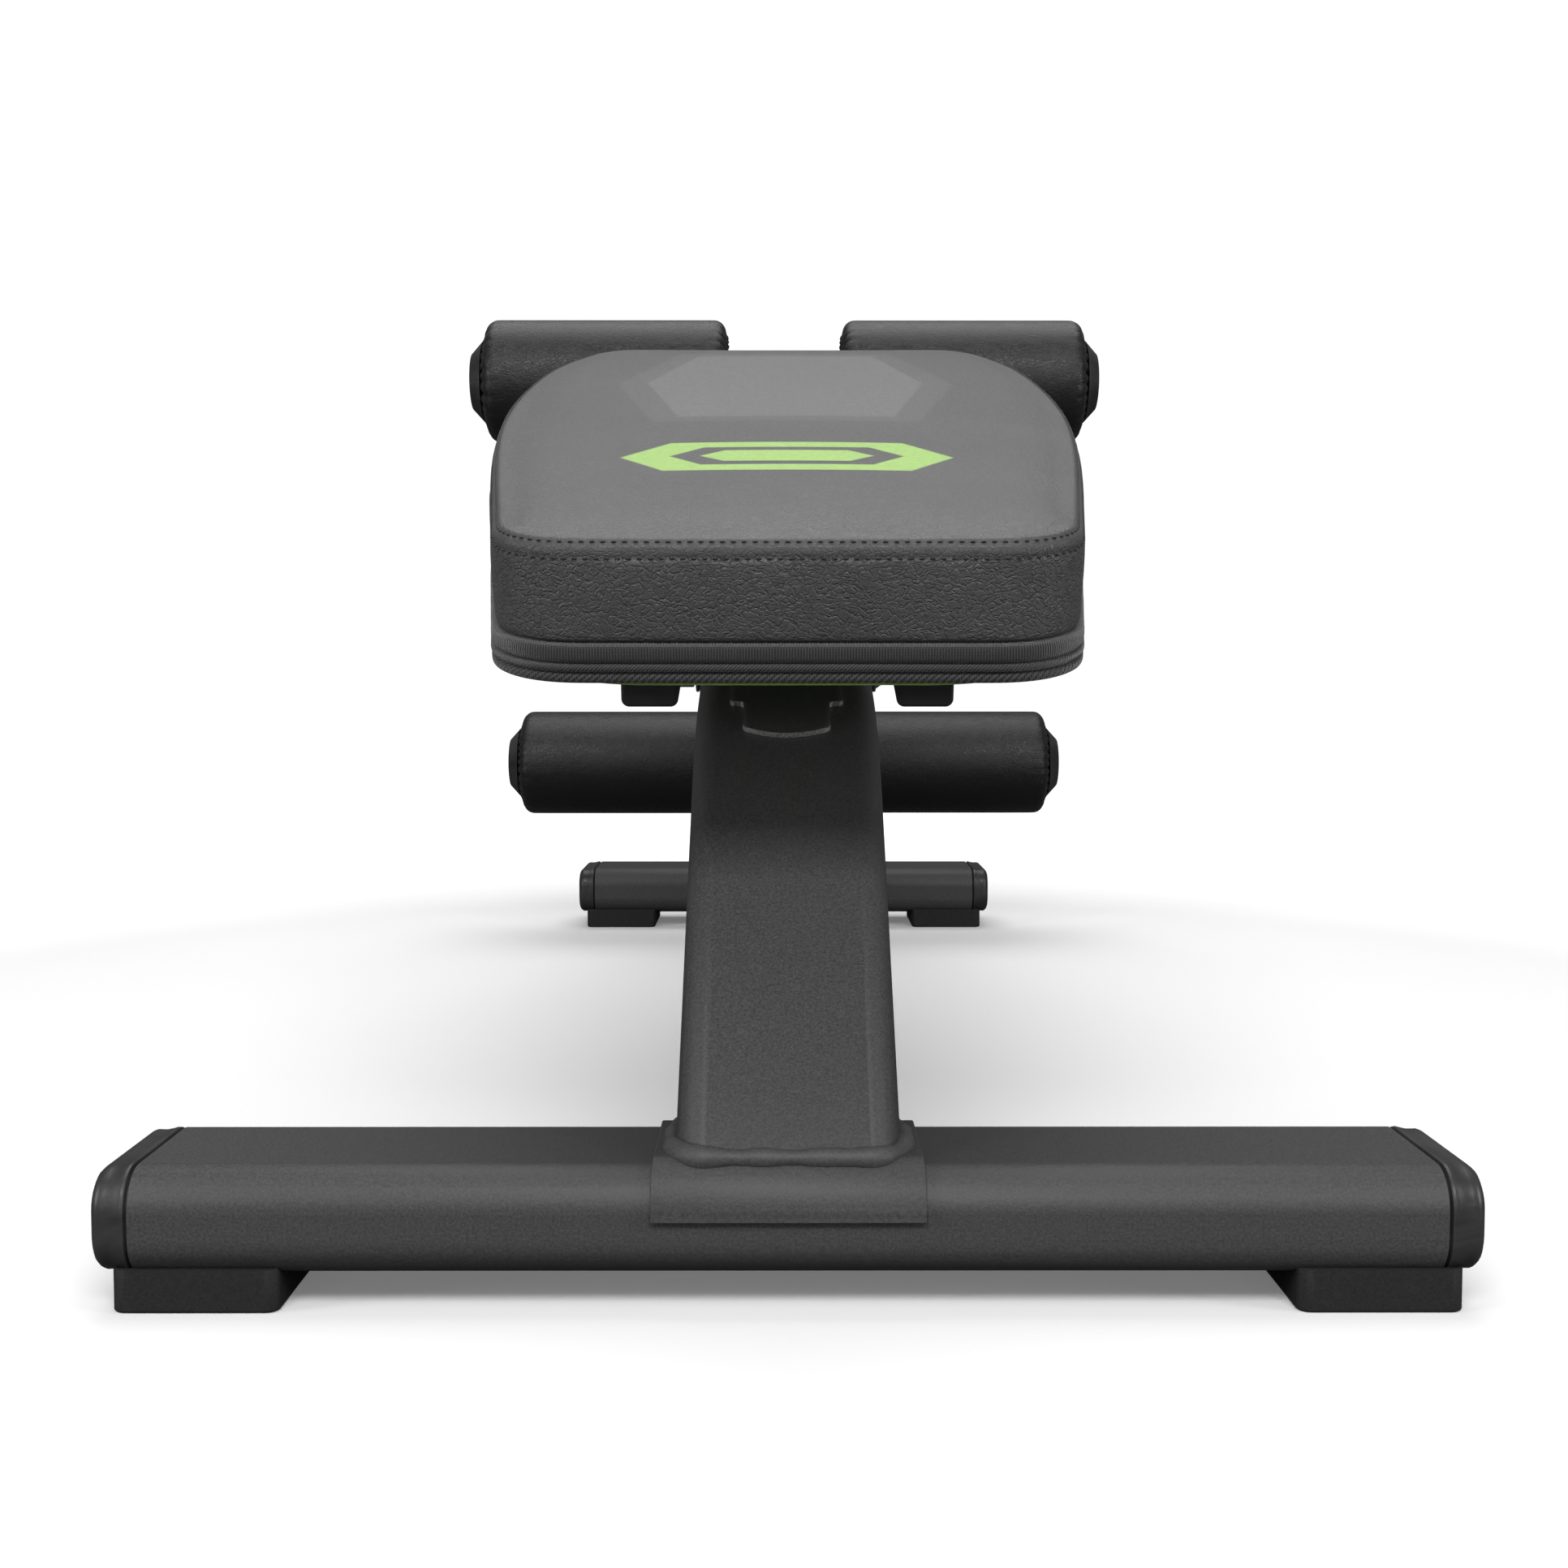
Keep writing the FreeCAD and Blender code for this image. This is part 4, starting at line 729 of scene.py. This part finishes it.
def cushion_levels(low, high, cushion):
    """Return (inset, height, kind) rows up the cushion's side, kind being '' or a seam's name."""
    slack, seam, row = cushion.slack, high - cushion.edge_seam, high - cushion.side_seam
    near = 1.3 * MM
    wall, step = low + 3 * MM, (row - near * 2 - low - 3 * MM) / 6
    rows = [(5.0 * MM, low, "foot"), (1.4 * MM, low + 0.6 * MM, "foot")]
    rows += [(slack, wall + step * k, "") for k in range(7)]
    rows += [(slack, row - near, ""), (slack, row, "row"), (slack, row + near, ""),
             (slack + 0.3 * MM, (row + near + seam - near) / 2, ""),
             (slack + 0.9 * MM, seam - near, ""), (slack + 2.2 * MM, seam, "edge"),
             (slack + 3.2 * MM, seam + near * 0.7, ""), (slack + 6.5 * MM, high - 1.0 * MM, ""),
             (slack + 11.0 * MM, high - 0.6 * MM, "")]
    return rows


def build_cushion():
    """Build the swollen cushion cover with its sewn edge."""
    cushion = bpy.context.scene.bench_cushion
    placing = deck_frame()
    solid = node_points("pad_cushion", placing)
    low, high = solid[:, 2].min(), solid[:, 2].max()
    NODE_ENDS["pad"] = (solid[:, 1].min(), solid[:, 1].max())
    loop, normal = pad_plan()
    around = len(loop)
    levels = cushion_levels(low, high, cushion)
    rings = [np.column_stack([loop - normal * inset, np.full(around, height)])
             for inset, height, _ in levels]
    points = np.vstack(rings)
    faces = ring_faces(len(rings), around)
    crown = len(points) - around
    for ring, rim_index, flip in ((rings[0], 0, True), (rings[-1], crown, False)):
        inner, more = patch_mesh(ring, rim_index, len(points), flip)
        points = np.vstack([points, inner])
        faces += more
    piece = make_piece("pad_cushion_cover", points, faces, slot_finish("pad_leather"),
                       "back_pad", placing)
    kinds = [kind for _, _, kind in levels]
    sewn = {i * around + j for i, kind in enumerate(kinds) if kind for j in range(around)}
    sewn |= {i for i, point in enumerate(points) if point[2] < low + 0.1 * MM}
    shape = swell(piece, sewn, cushion)
    shape = pucker(shape, kinds, around, normal, cushion.seam_depth)
    write_points(piece.data, shape)
    soften(piece)
    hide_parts("pad_cushion", "pad_foam")
    seams = {kind: shape[i * around:(i + 1) * around] for i, kind in enumerate(kinds) if kind}
    return seams, normal, placing


def pucker(shape, kinds, around, normal, depth):
    """Pull the seam rings in and leave small puckers beside them."""
    shape = shape.copy()
    run = np.arange(around) * WAVE_ROUND / around
    for i, kind in enumerate(kinds):
        if kind not in ("edge", "row"):
            continue
        pull = depth if kind == "edge" else 0.55 * depth
        ring = slice(i * around, (i + 1) * around)
        shape[ring, :2] -= normal * pull
        shape[ring, 2] -= 0.35 * pull if kind == "edge" else 0.0
        for k, share in ((-2, 0.3), (-1, 0.5), (1, 0.5), (2, 0.3)):
            near = slice((i + k) * around, (i + k + 1) * around)
            crinkle = ripple(run, 40 + i + k, (97, 131, 61, 43)) * CRINKLE * share * 2
            shape[near, :2] += normal * crinkle[:, None]
    for i, kind in enumerate(kinds[:9]):
        if kind == "":
            ring = slice(i * around, (i + 1) * around)
            wave = ripple(run, 7, (9, 14, 23)) * 0.5 + ripple(run, 11 + i // 3, (37, 52, 71)) * 0.35
            shape[ring, :2] += normal * wave[:, None] * MM
    return shape


def stitch_rows(rows, normal, pitch, radius, placing):
    """Build short raised stitches along sewn lines, as one piece.

    Each row is its line, how far the thread lies off it, and the share of the pitch it fills.
    """
    points, faces = [], []
    sides, per_stitch = 6, 8
    tiny = 1e-6      # keeps the normals that ride along out of the line's length
    up = Vector((0, 0, 1))
    for row, (line, lift, share) in enumerate(rows):
        count = int(length_round(line) / pitch)
        dense = resample(np.column_stack([line, normal * tiny]), count * per_stitch)
        for s in range(count):
            at = [dense[(s * per_stitch + k) % len(dense)]
                  for k in range(int(per_stitch * share) + 1)]
            steps = len(at) - 1
            first = len(points)
            for k, spot in enumerate(at):
                out = Vector((spot[3], spot[4], 0.25 * tiny if row == 0 else 0.0)).normalized()
                round_off = math.sin(math.pi * (k + 0.35) / (steps + 0.7))
                centre = Vector(spot[:3]) + out * (lift + radius * (round_off - 0.45))
                size = radius * (0.35 + 0.65 * round_off)
                points += [centre + (out * math.cos(a) + up * math.sin(a)) * size
                           for a in (j * 2 * math.pi / sides for j in range(sides))]
            faces += tube_faces(steps + 1, sides, first)
    return make_piece("pad_stitching", points, faces, finish("thread", thread),
                      "back_pad", placing)


def build_band():
    """Build the woven band under the cushion: a flat webbing, a cord and a rolled hem."""
    placing = deck_frame()
    solid = node_points("pad_side_band", placing)
    low, high = solid[:, 2].min(), solid[:, 2].max()
    loop, normal = pad_plan()
    around = len(loop)
    tall = high - low
    run = np.arange(around) * WAVE_ROUND / around
    waver = ripple(run, 5, (11, 17, 31)) * 0.25
    rings = []
    for out, share in BAND_PROFILE:
        offset = (out + (waver if out > 0 else 0.0)) * MM
        spread = np.reshape(offset * np.ones(around), (-1, 1))
        rings.append(np.column_stack([loop + normal * spread,
                                      np.full(around, high - share * tall)]))
    points = np.vstack(rings)
    faces = [face[::-1] for face in ring_faces(len(rings), around)]
    back = len(rings) - 1
    faces += [((j + 1) % around + back * around, j + back * around, j, (j + 1) % around)[::-1]
              for j in range(around)]
    piece = make_piece("pad_side_webbing", points, faces, slot_finish("band_fabric"),
                       "back_pad", placing)
    piece.data.materials.append(finish("band_basket", woven, "band_basket", 230.0, False))
    piece.data.materials.append(finish("band_cord", woven, "band_cord", 330.0, True))
    lay_out_webbing(piece.data, around, length_round(loop), tall)
    soften(piece)
    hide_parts("pad_side_band")


def lay_out_webbing(mesh, around, length, tall):
    """Give the webbing its run and height as UV in metres, and its three weaves."""
    layer = mesh.uv_layers.new(name="run")
    outline = np.array([(out * MM, share * tall) for out, share in BAND_PROFILE])
    steps = np.linalg.norm(np.diff(outline, axis=0), axis=1)
    heights = np.concatenate([[0.0], np.cumsum(steps)])
    for face in mesh.polygons:
        columns = [mesh.loops[i].vertex_index % around for i in face.loop_indices]
        wraps = max(columns) - min(columns) > around / 2
        share = 0.0
        for i in face.loop_indices:
            vertex = mesh.loops[i].vertex_index
            column, row = vertex % around, vertex // around
            column += around if wraps and column < around / 2 else 0
            layer.data[i].uv = (column * length / around, heights[row])
            share += BAND_PROFILE[row][1] / 4
        face.material_index = 1 if share < WEBBING_FOOT else 2 if share < CORD_FOOT else 0


def roller_end(radius, shoulder, hem):
    """Return (radius, distance from the end, pleating) from a cover's mouth to its drum."""
    bend, depth = hem + 4.0 * MM, 2.6 * MM
    ends = [(17.0 * MM, 5.0 * MM, 0.0), (hem - 7 * MM, 4.5 * MM, 0.2),
            (hem - 2.2 * MM, 3.2 * MM, 0.9), (hem, 0.6 * MM, 1.0), (hem + 0.8 * MM, 0.5 * MM, 1.0),
            (hem + 2.4 * MM, 2.0 * MM, 0.9), (bend, depth, 0.7)]
    for k in range(1, 9):
        turn = math.radians(90) * k / 8
        ends.append((bend + (radius - bend) * math.sin(turn),
                     depth + (shoulder - depth) * (1 - math.cos(turn)),
                     0.7 * (1 - k / 8) ** 0.8 + 0.06))
    return ends + [(radius, shoulder + 7 * MM, 0.03), (radius, shoulder + 18 * MM, 0.0)]


def roller_cover(name, seed):
    """Build one roller's leather cover with gathered, scalloped ends."""
    roller = bpy.context.scene.bench_roller
    low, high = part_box(name + "_cover")
    radius = (high.z - low.z) / 2
    axis = Vector((0, (low.y + high.y) / 2, (low.z + high.z) / 2))
    around = 288
    angle = np.linspace(0, 2 * math.pi, around, endpoint=False)
    ends = roller_end(radius, roller.shoulder, roller.hem_radius)
    length = high.x - low.x
    stations = [(r, x, p, 0) for r, x, p in ends]
    stations += [(radius, length * share, 0.0, 0) for share in np.linspace(0.22, 0.78, 12)]
    stations += [(r, length - x, p, 1) for r, x, p in reversed(ends)]
    pleats = []
    for end in (0, 1):
        wander = ripple(angle, seed + end, (2, 3, 5)) * 1.6
        fold = np.abs(np.sin(roller.pleats / 2 * angle + wander)) ** 0.7
        uneven = 0.75 + 0.5 * ripple(angle, seed + 10 + end, (5, 8, 13))
        pleats.append((fold, uneven))
    rings = []
    for r, x, share, end in stations:
        fold, uneven = pleats[end]
        drop = share * roller.pleat_depth * uneven * (1 - fold)
        sway = ripple(angle, seed + 20, (1, 2, 3)) * 0.35 * MM
        size = r - drop + sway * (r / radius)
        side = -1 if end == 0 else 1
        push = -side * drop * 0.9 if share > 0.5 else 0.0
        rings.append(np.column_stack([np.full(around, low.x + x) + push,
                                      axis.y + size * np.cos(angle),
                                      axis.z + size * np.sin(angle)]))
    points = np.vstack(rings)
    points[:, 0] = np.clip(points[:, 0], low.x, high.x)
    piece = make_piece(name + "_leather", points, ring_faces(len(rings), around),
                       slot_finish("roller_leather"), name)
    soften(piece)
    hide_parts(name + "_cover", name + "_foam")
    build_roller_seam(name, axis, radius, low.x + roller.shoulder, high.x - roller.shoulder)


def build_roller_seam(name, axis, radius, start, stop):
    """Build the closing seam along the back of a roller as a low welt."""
    points = []
    steps, sides = 60, 8
    for k in range(steps + 1):
        x = start + (stop - start) * k / steps
        height = 0.9 * MM * min(1.0, 6.0 * min(k, steps - k) / steps + 0.15)
        for j in range(sides):
            turn = 2 * math.pi * j / sides
            across, out = 1.8 * MM * math.cos(turn), height * math.sin(turn)
            points.append((x, axis.y + radius - 0.4 * MM + out, axis.z + across))
    make_piece(name + "_seam", points, tube_faces(steps + 1, sides),
               slot_finish("roller_leather"), name)


def build_end_cap(name, tube, side):
    """Build a moulded end cap: a shadow gap, a proud lip, a soft waist and a dished face."""
    trim = bpy.context.scene.bench_trim
    low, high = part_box(tube)
    cap_low, cap_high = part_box(name)
    seat = high.x if side > 0 else low.x
    reach = cap_high.x - seat if side > 0 else seat - cap_low.x
    wide, tall = high.y - low.y, high.z - low.z
    section = rounded_section(wide, tall, trim.cap_corner)
    normal = outward(section)
    gap = trim.cap_gap
    stations = [(-3 * MM, 2.6 * MM), (0.0, 2.6 * MM), (gap, 2.4 * MM), (gap + 0.1 * MM, 0.4 * MM),
                (gap + 0.5 * MM, -0.15 * MM), (gap + 1.6 * MM, -0.25 * MM),
                (gap + 3.4 * MM, 0.25 * MM), (reach * 0.45, 0.9 * MM), (reach * 0.6, 0.9 * MM),
                (reach * 0.72, 0.8 * MM), (reach * 0.82, 1.4 * MM), (reach * 0.92, 3.0 * MM),
                (reach * 0.985, 5.6 * MM), (reach, 8.4 * MM), (reach - 0.3 * MM, 12.0 * MM),
                (reach - 0.8 * MM, 17.0 * MM)]
    middle = Vector((0, (low.y + high.y) / 2, (low.z + high.z) / 2))
    rings = []
    for out, inset in stations:
        flat = section - normal * inset
        rings.append(np.column_stack([np.full(len(flat), seat + side * out),
                                      middle.y + side * flat[:, 0], middle.z + flat[:, 1]]))
    points = np.vstack(rings)
    count = len(section)
    faces = ring_faces(len(rings), count)
    faces.append(tuple(range(len(points) - count, len(points))))
    piece = make_piece(name + "_moulding", points, faces, slot_finish("end_cap_plastic"),
                       "frame")
    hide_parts(name)


def surface_of(*names):
    """Return a ray-casting tree of some CAD nodes."""
    points, faces = [], []
    for name in names:
        mesh = NODES[name].data
        first = len(points)
        points += [v.co.copy() for v in mesh.vertices]
        faces += [[first + i for i in face.vertices] for face in mesh.polygons]
    return BVHTree.FromPolygons(points, faces)


def weld_bead(name, middle, way, shape, targets, radius, seed):
    """Build a lumpy weld bead where a tube, coming down a direction, meets other nodes."""
    over = Vector((0, -way.z, way.y))
    side = Vector((1, 0, 0))
    section = rounded_section(*shape, 12, 12)
    surface = surface_of(*targets)
    path = []
    for u, v in section:
        start = middle + way * 0.16 + side * u + over * v
        hit = surface.ray_cast(start, -way, 0.4)
        if hit[0] is None:
            continue
        out = (side * u * 0.4 + over * v).normalized()
        path.append(hit[0] + out * radius * 0.3)
    path = relaxed(resample([tuple(p) for p in path], 420), 5)
    along = np.roll(path, -1, axis=0) - np.roll(path, 1, axis=0)
    run = np.arange(len(path)) * WAVE_ROUND / len(path)
    size = radius * (1.0 + 0.5 * ripple(run, seed, (3, 5, 8, 13)))
    points = []
    sides = 10
    for k, spot in enumerate(path):
        tangent = Vector(along[k]).normalized()
        a = tangent.cross(way).normalized()
        b = tangent.cross(a)
        points += [Vector(spot) + (a * math.cos(t) + b * math.sin(t)) * size[k]
                   for t in (j * 2 * math.pi / sides for j in range(sides))]
    around = len(path)
    faces = []
    for k in range(around):
        here, there = k * sides, (k + 1) % around * sides
        faces += [(here + j, here + (j + 1) % sides, there + (j + 1) % sides, there + j)
                  for j in range(sides)]
    make_piece(name, points, faces, slot_finish("frame_paint"), "frame")


def build_tongue():
    """Build the bent plate at the top of the leg, with a rounded tongue and cut edges coloured
    light grey as a painted highlight.
    """
    trim = bpy.context.scene.bench_trim
    low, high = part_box("leg_tongue_plate")
    outer, thick = trim.bend_radius, 3.0 * MM
    bottom, top = trim.leg_angle - TONGUE_BOTTOM, trim.leg_angle - TONGUE_TOP
    centre = Vector((0, low.y + outer * math.sin(bottom), high.z - outer * math.cos(top)))
    length = outer * (bottom - top)
    neck = length * 0.447
    half, shoulder, sag = 23.5 * MM, (high.x - low.x) / 2, 6.5 * MM
    rows = [(sag * share, half * math.sqrt(share))
            for share in (0.0, 0.02, 0.08, 0.2, 0.4, 0.65, 0.9)]
    rows += [(sag * 1.25, half), (neck - 4 * MM, half), (neck - 1.2 * MM, half + 0.4 * MM),
             (neck - 0.3 * MM, half + 1.6 * MM), (neck, shoulder - 2 * MM),
             (neck + 0.8 * MM, shoulder - 0.3 * MM), (neck + 2.4 * MM, shoulder)]
    rows += [(neck + 2.4 * MM + (length - neck - 2.4 * MM) * k / 8, shoulder) for k in range(1, 9)]
    columns = 17
    sheets = []
    for radius in (outer - thick, outer):
        for run, width in rows:
            angle = bottom - run / outer
            y, z = centre.y - radius * math.sin(angle), centre.z + radius * math.cos(angle)
            sheets += [(width * (2 * j / (columns - 1) - 1), y, z) for j in range(columns)]
    back = len(rows) * columns
    faces = [face[::-1] for face in ring_faces(len(rows), columns, closed=False)]
    faces += ring_faces(len(rows), columns, closed=False, first=back)
    flat = len(faces)
    for i in range(len(rows) - 1):
        for j, way in ((0, 1), (columns - 1, -1)):
            a, b = i * columns + j, (i + 1) * columns + j
            faces.append((a, back + a, back + b, b)[::way])
    for i, way in ((0, -1), (len(rows) - 1, 1)):
        for j in range(columns - 1):
            a = i * columns + j
            faces.append((a, back + a, back + a + 1, a + 1)[::way])
    plate = make_piece("leg_tongue_sheet", sheets, faces, slot_finish("frame_paint"), "frame",
                       smooth=False)
    # the cut edges take the light grey edge finish: thin paint plus a painted highlight
    plate.data.materials.append(finish("cut_edge", cut_edge))
    for face in list(plate.data.polygons)[flat:]:
        face.material_index = 1
    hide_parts("leg_tongue_plate")


def build_welds():
    """Build the beads at the foot of the leg and at the foot of the roller post."""
    trim = bpy.context.scene.bench_trim
    low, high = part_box("rear_stabiliser_tube")
    way = Vector((0, math.cos(trim.leg_angle), math.sin(trim.leg_angle)))
    leg = Vector((0, (low.y + high.y) / 2 - 4 * MM, high.z))
    weld_bead("leg_weld", leg, way, LEG_SECTION,
              ("rear_saddle_plate", "rear_stabiliser_tube"), trim.bead_radius, 3)
    knee, ankle = (sum(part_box(n), Vector()) / 2 for n in ("knee_axle", "ankle_axle"))
    way = (knee - ankle).normalized()
    ankle.x = 0.0
    weld_bead("post_weld", ankle, way, POST_SECTION,
              ("front_saddle_plate", "front_stabiliser_tube"), trim.bead_radius * 0.85, 9)


def dress_frame():
    """Give every CAD node its finish and a small break on its sharp edges."""
    trim = bpy.context.scene.bench_trim
    for name, part in NODES.items():
        if part.hide_render:
            continue
        part.data.materials.clear()
        part.data.materials.append(slot_finish(SLOT_OF[name]))
        weld = part.modifiers.new("join", "WELD")
        weld.merge_threshold = 0.01 * MM
        bevel = part.modifiers.new("edge", "BEVEL")
        bevel.width = trim.edge_break
        bevel.segments = 2
        bevel.limit_method = "ANGLE"
        bevel.angle_limit = SHARP
        bevel.harden_normals = True


# ---------------------------------------------------------------- stage

def area_light(name, place, target, size, power):
    """Add one softbox that faces a target."""
    data = bpy.data.lights.new(name, "AREA")
    data.shape = "RECTANGLE"
    data.size, data.size_y = size
    data.energy = power
    lamp = bpy.data.objects.new(name, data)
    lamp.location = place
    lamp.rotation_euler = (Vector(target) - Vector(place)).to_track_quat("-Z", "Y").to_euler()
    bpy.context.scene.collection.objects.link(lamp)


def build_floor():
    """Lay a plain white floor."""
    made = Recipe("studio_floor", specular=0.0)
    seen = made.add("ShaderNodeLightPath").outputs["Is Camera Ray"]
    made.feed(made.shader.inputs["Emission Color"], (1, 1, 1, 1))
    away = made.add("ShaderNodeVectorMath", {"operation": "LENGTH"})
    made.feed(away.inputs[0], made.place)
    glow = made.span(away.outputs["Value"], *FLOOR_REACH, *FLOOR_GLOW)
    made.feed(made.shader.inputs["Emission Strength"], made.calc("MULTIPLY", seen, glow))
    cloud = made.noise(0.8, 2.0)
    tone = made.blend(seen, (FLOOR_BOUNCE,) * 3 + (1,), (0.92, 0.92, 0.92, 1))
    material = made.done(tone, 0.95, made.relief(cloud, 0.0, 0.1 * MM))
    half, lines = 9.0, 13
    level = CAD_BOX[0].z - 0.02 * MM
    places = np.linspace(-half, half, lines)
    grid = [(x, y, level) for x in places for y in places]
    faces = [face[::-1] for face in ring_faces(lines, lines, closed=False)]
    floor = make_piece("studio_floor", grid, faces, material, None)


def build_sky(strength):
    """Make white surroundings, brighter to the eye than to the object."""
    world = bpy.data.worlds.new("studio")
    bpy.context.scene.world = world
    world.use_nodes = True
    tree = world.node_tree
    back = tree.nodes["Background"]
    back.inputs["Color"].default_value = (1, 1, 1, 1)
    rays = tree.nodes.new("ShaderNodeLightPath")
    level = tree.nodes.new("ShaderNodeMapRange")
    level.inputs["To Min"].default_value = strength
    level.inputs["To Max"].default_value = 1.05
    tree.links.new(rays.outputs["Is Camera Ray"], level.inputs["Value"])
    tree.links.new(level.outputs["Result"], back.inputs["Strength"])


def build_camera(stage):
    """Stand the camera where the bench is seen from its head end."""
    data = bpy.data.cameras.new("eye")
    data.lens = stage.lens
    data.sensor_width = 36.0
    data.clip_start = 0.05
    camera = bpy.data.objects.new("eye", data)
    camera.location = stage.eye
    camera.rotation_euler = (math.radians(90) - stage.pitch, 0.0, -stage.yaw)
    bpy.context.scene.collection.objects.link(camera)
    bpy.context.scene.camera = camera


# ---------------------------------------------------------------- operators

class BENCH_OT_cushion(bpy.types.Operator):
    """Build the back pad's cushion, its stitches and its woven band"""
    bl_idname = "bench.cushion"
    bl_label = "Back pad"

    def execute(self, context):
        settings = context.scene.bench_cushion
        seams, normal, placing = build_cushion()
        rows = [(seams["edge"], 0.95 * MM, 0.5), (seams["row"], 0.8 * MM, 0.62)]
        stitches = stitch_rows(rows, normal, settings.stitch_pitch, settings.thread_radius, placing)
        if not stitches.data.polygons:
            raise RuntimeError("the pad has no stitches")
        build_band()
        return {"FINISHED"}


class BENCH_OT_rollers(bpy.types.Operator):
    """Build the four gathered leather covers of the foam rollers"""
    bl_idname = "bench.rollers"
    bl_label = "Roller covers"

    def execute(self, context):
        for seed, name in enumerate(("knee_roller_left", "knee_roller_right",
                                     "ankle_roller_left", "ankle_roller_right")):
            roller_cover(name, 100 + 7 * seed)
        return {"FINISHED"}


class BENCH_OT_trim(bpy.types.Operator):
    """Build the moulded end caps, the tongue plate and the weld beads"""
    bl_idname = "bench.trim"
    bl_label = "Caps and welds"

    def execute(self, context):
        for end in ("rear", "front"):
            for word, side in (("left", -1), ("right", 1)):
                build_end_cap(f"{end}_end_cap_{word}", f"{end}_stabiliser_tube", side)
        build_tongue()
        build_welds()
        return {"FINISHED"}


class BENCH_OT_finishes(bpy.types.Operator):
    """Give every frame part its paint, plastic, rubber or plating"""
    bl_idname = "bench.finishes"
    bl_label = "Frame finishes"

    def execute(self, context):
        dress_frame()
        return {"FINISHED"}


class BENCH_OT_stage(bpy.types.Operator):
    """Build the floor, the lights, the surroundings and the camera"""
    bl_idname = "bench.stage"
    bl_label = "Studio"

    def execute(self, context):
        stage = context.scene.bench_stage
        build_floor()
        build_sky(stage.sky)
        build_camera(stage)
        for name, place, size, share in SOFTBOXES:
            area_light(name, place, LIGHTS_MEET, size, stage.power * share)
        context.scene.view_settings.view_transform = "Standard"
        return {"FINISHED"}


class BENCH_PT_panel(bpy.types.Panel):
    """Lists the bench's pieces"""
    bl_label = "Sit-up bench"
    bl_idname = "BENCH_PT_panel"
    bl_space_type = "VIEW_3D"
    bl_region_type = "UI"
    bl_category = "Bench"

    def draw(self, context):
        for operator in OPERATORS:
            self.layout.operator(operator.bl_idname)


SETTINGS = {"bench_cushion": CushionSettings, "bench_roller": RollerSettings,
            "bench_trim": TrimSettings, "bench_finish": FinishSettings,
            "bench_stage": StageSettings}
OPERATORS = (BENCH_OT_cushion, BENCH_OT_rollers, BENCH_OT_trim, BENCH_OT_finishes, BENCH_OT_stage)


def register():
    for kind in (*SETTINGS.values(), *OPERATORS, BENCH_PT_panel):
        bpy.utils.register_class(kind)
    for name, kind in SETTINGS.items():
        setattr(bpy.types.Scene, name, PointerProperty(type=kind))


def unregister():
    for name in SETTINGS:
        delattr(bpy.types.Scene, name)
    for kind in (BENCH_PT_panel, *reversed(OPERATORS), *SETTINGS.values()):
        bpy.utils.unregister_class(kind)


def main():
    register()
    bpy.ops.bench.cushion()
    bpy.ops.bench.rollers()
    bpy.ops.bench.trim()
    bpy.ops.bench.finishes()
    bpy.ops.bench.stage()
    bpy.context.view_layer.update()


if __name__ == "__main__":
    main()
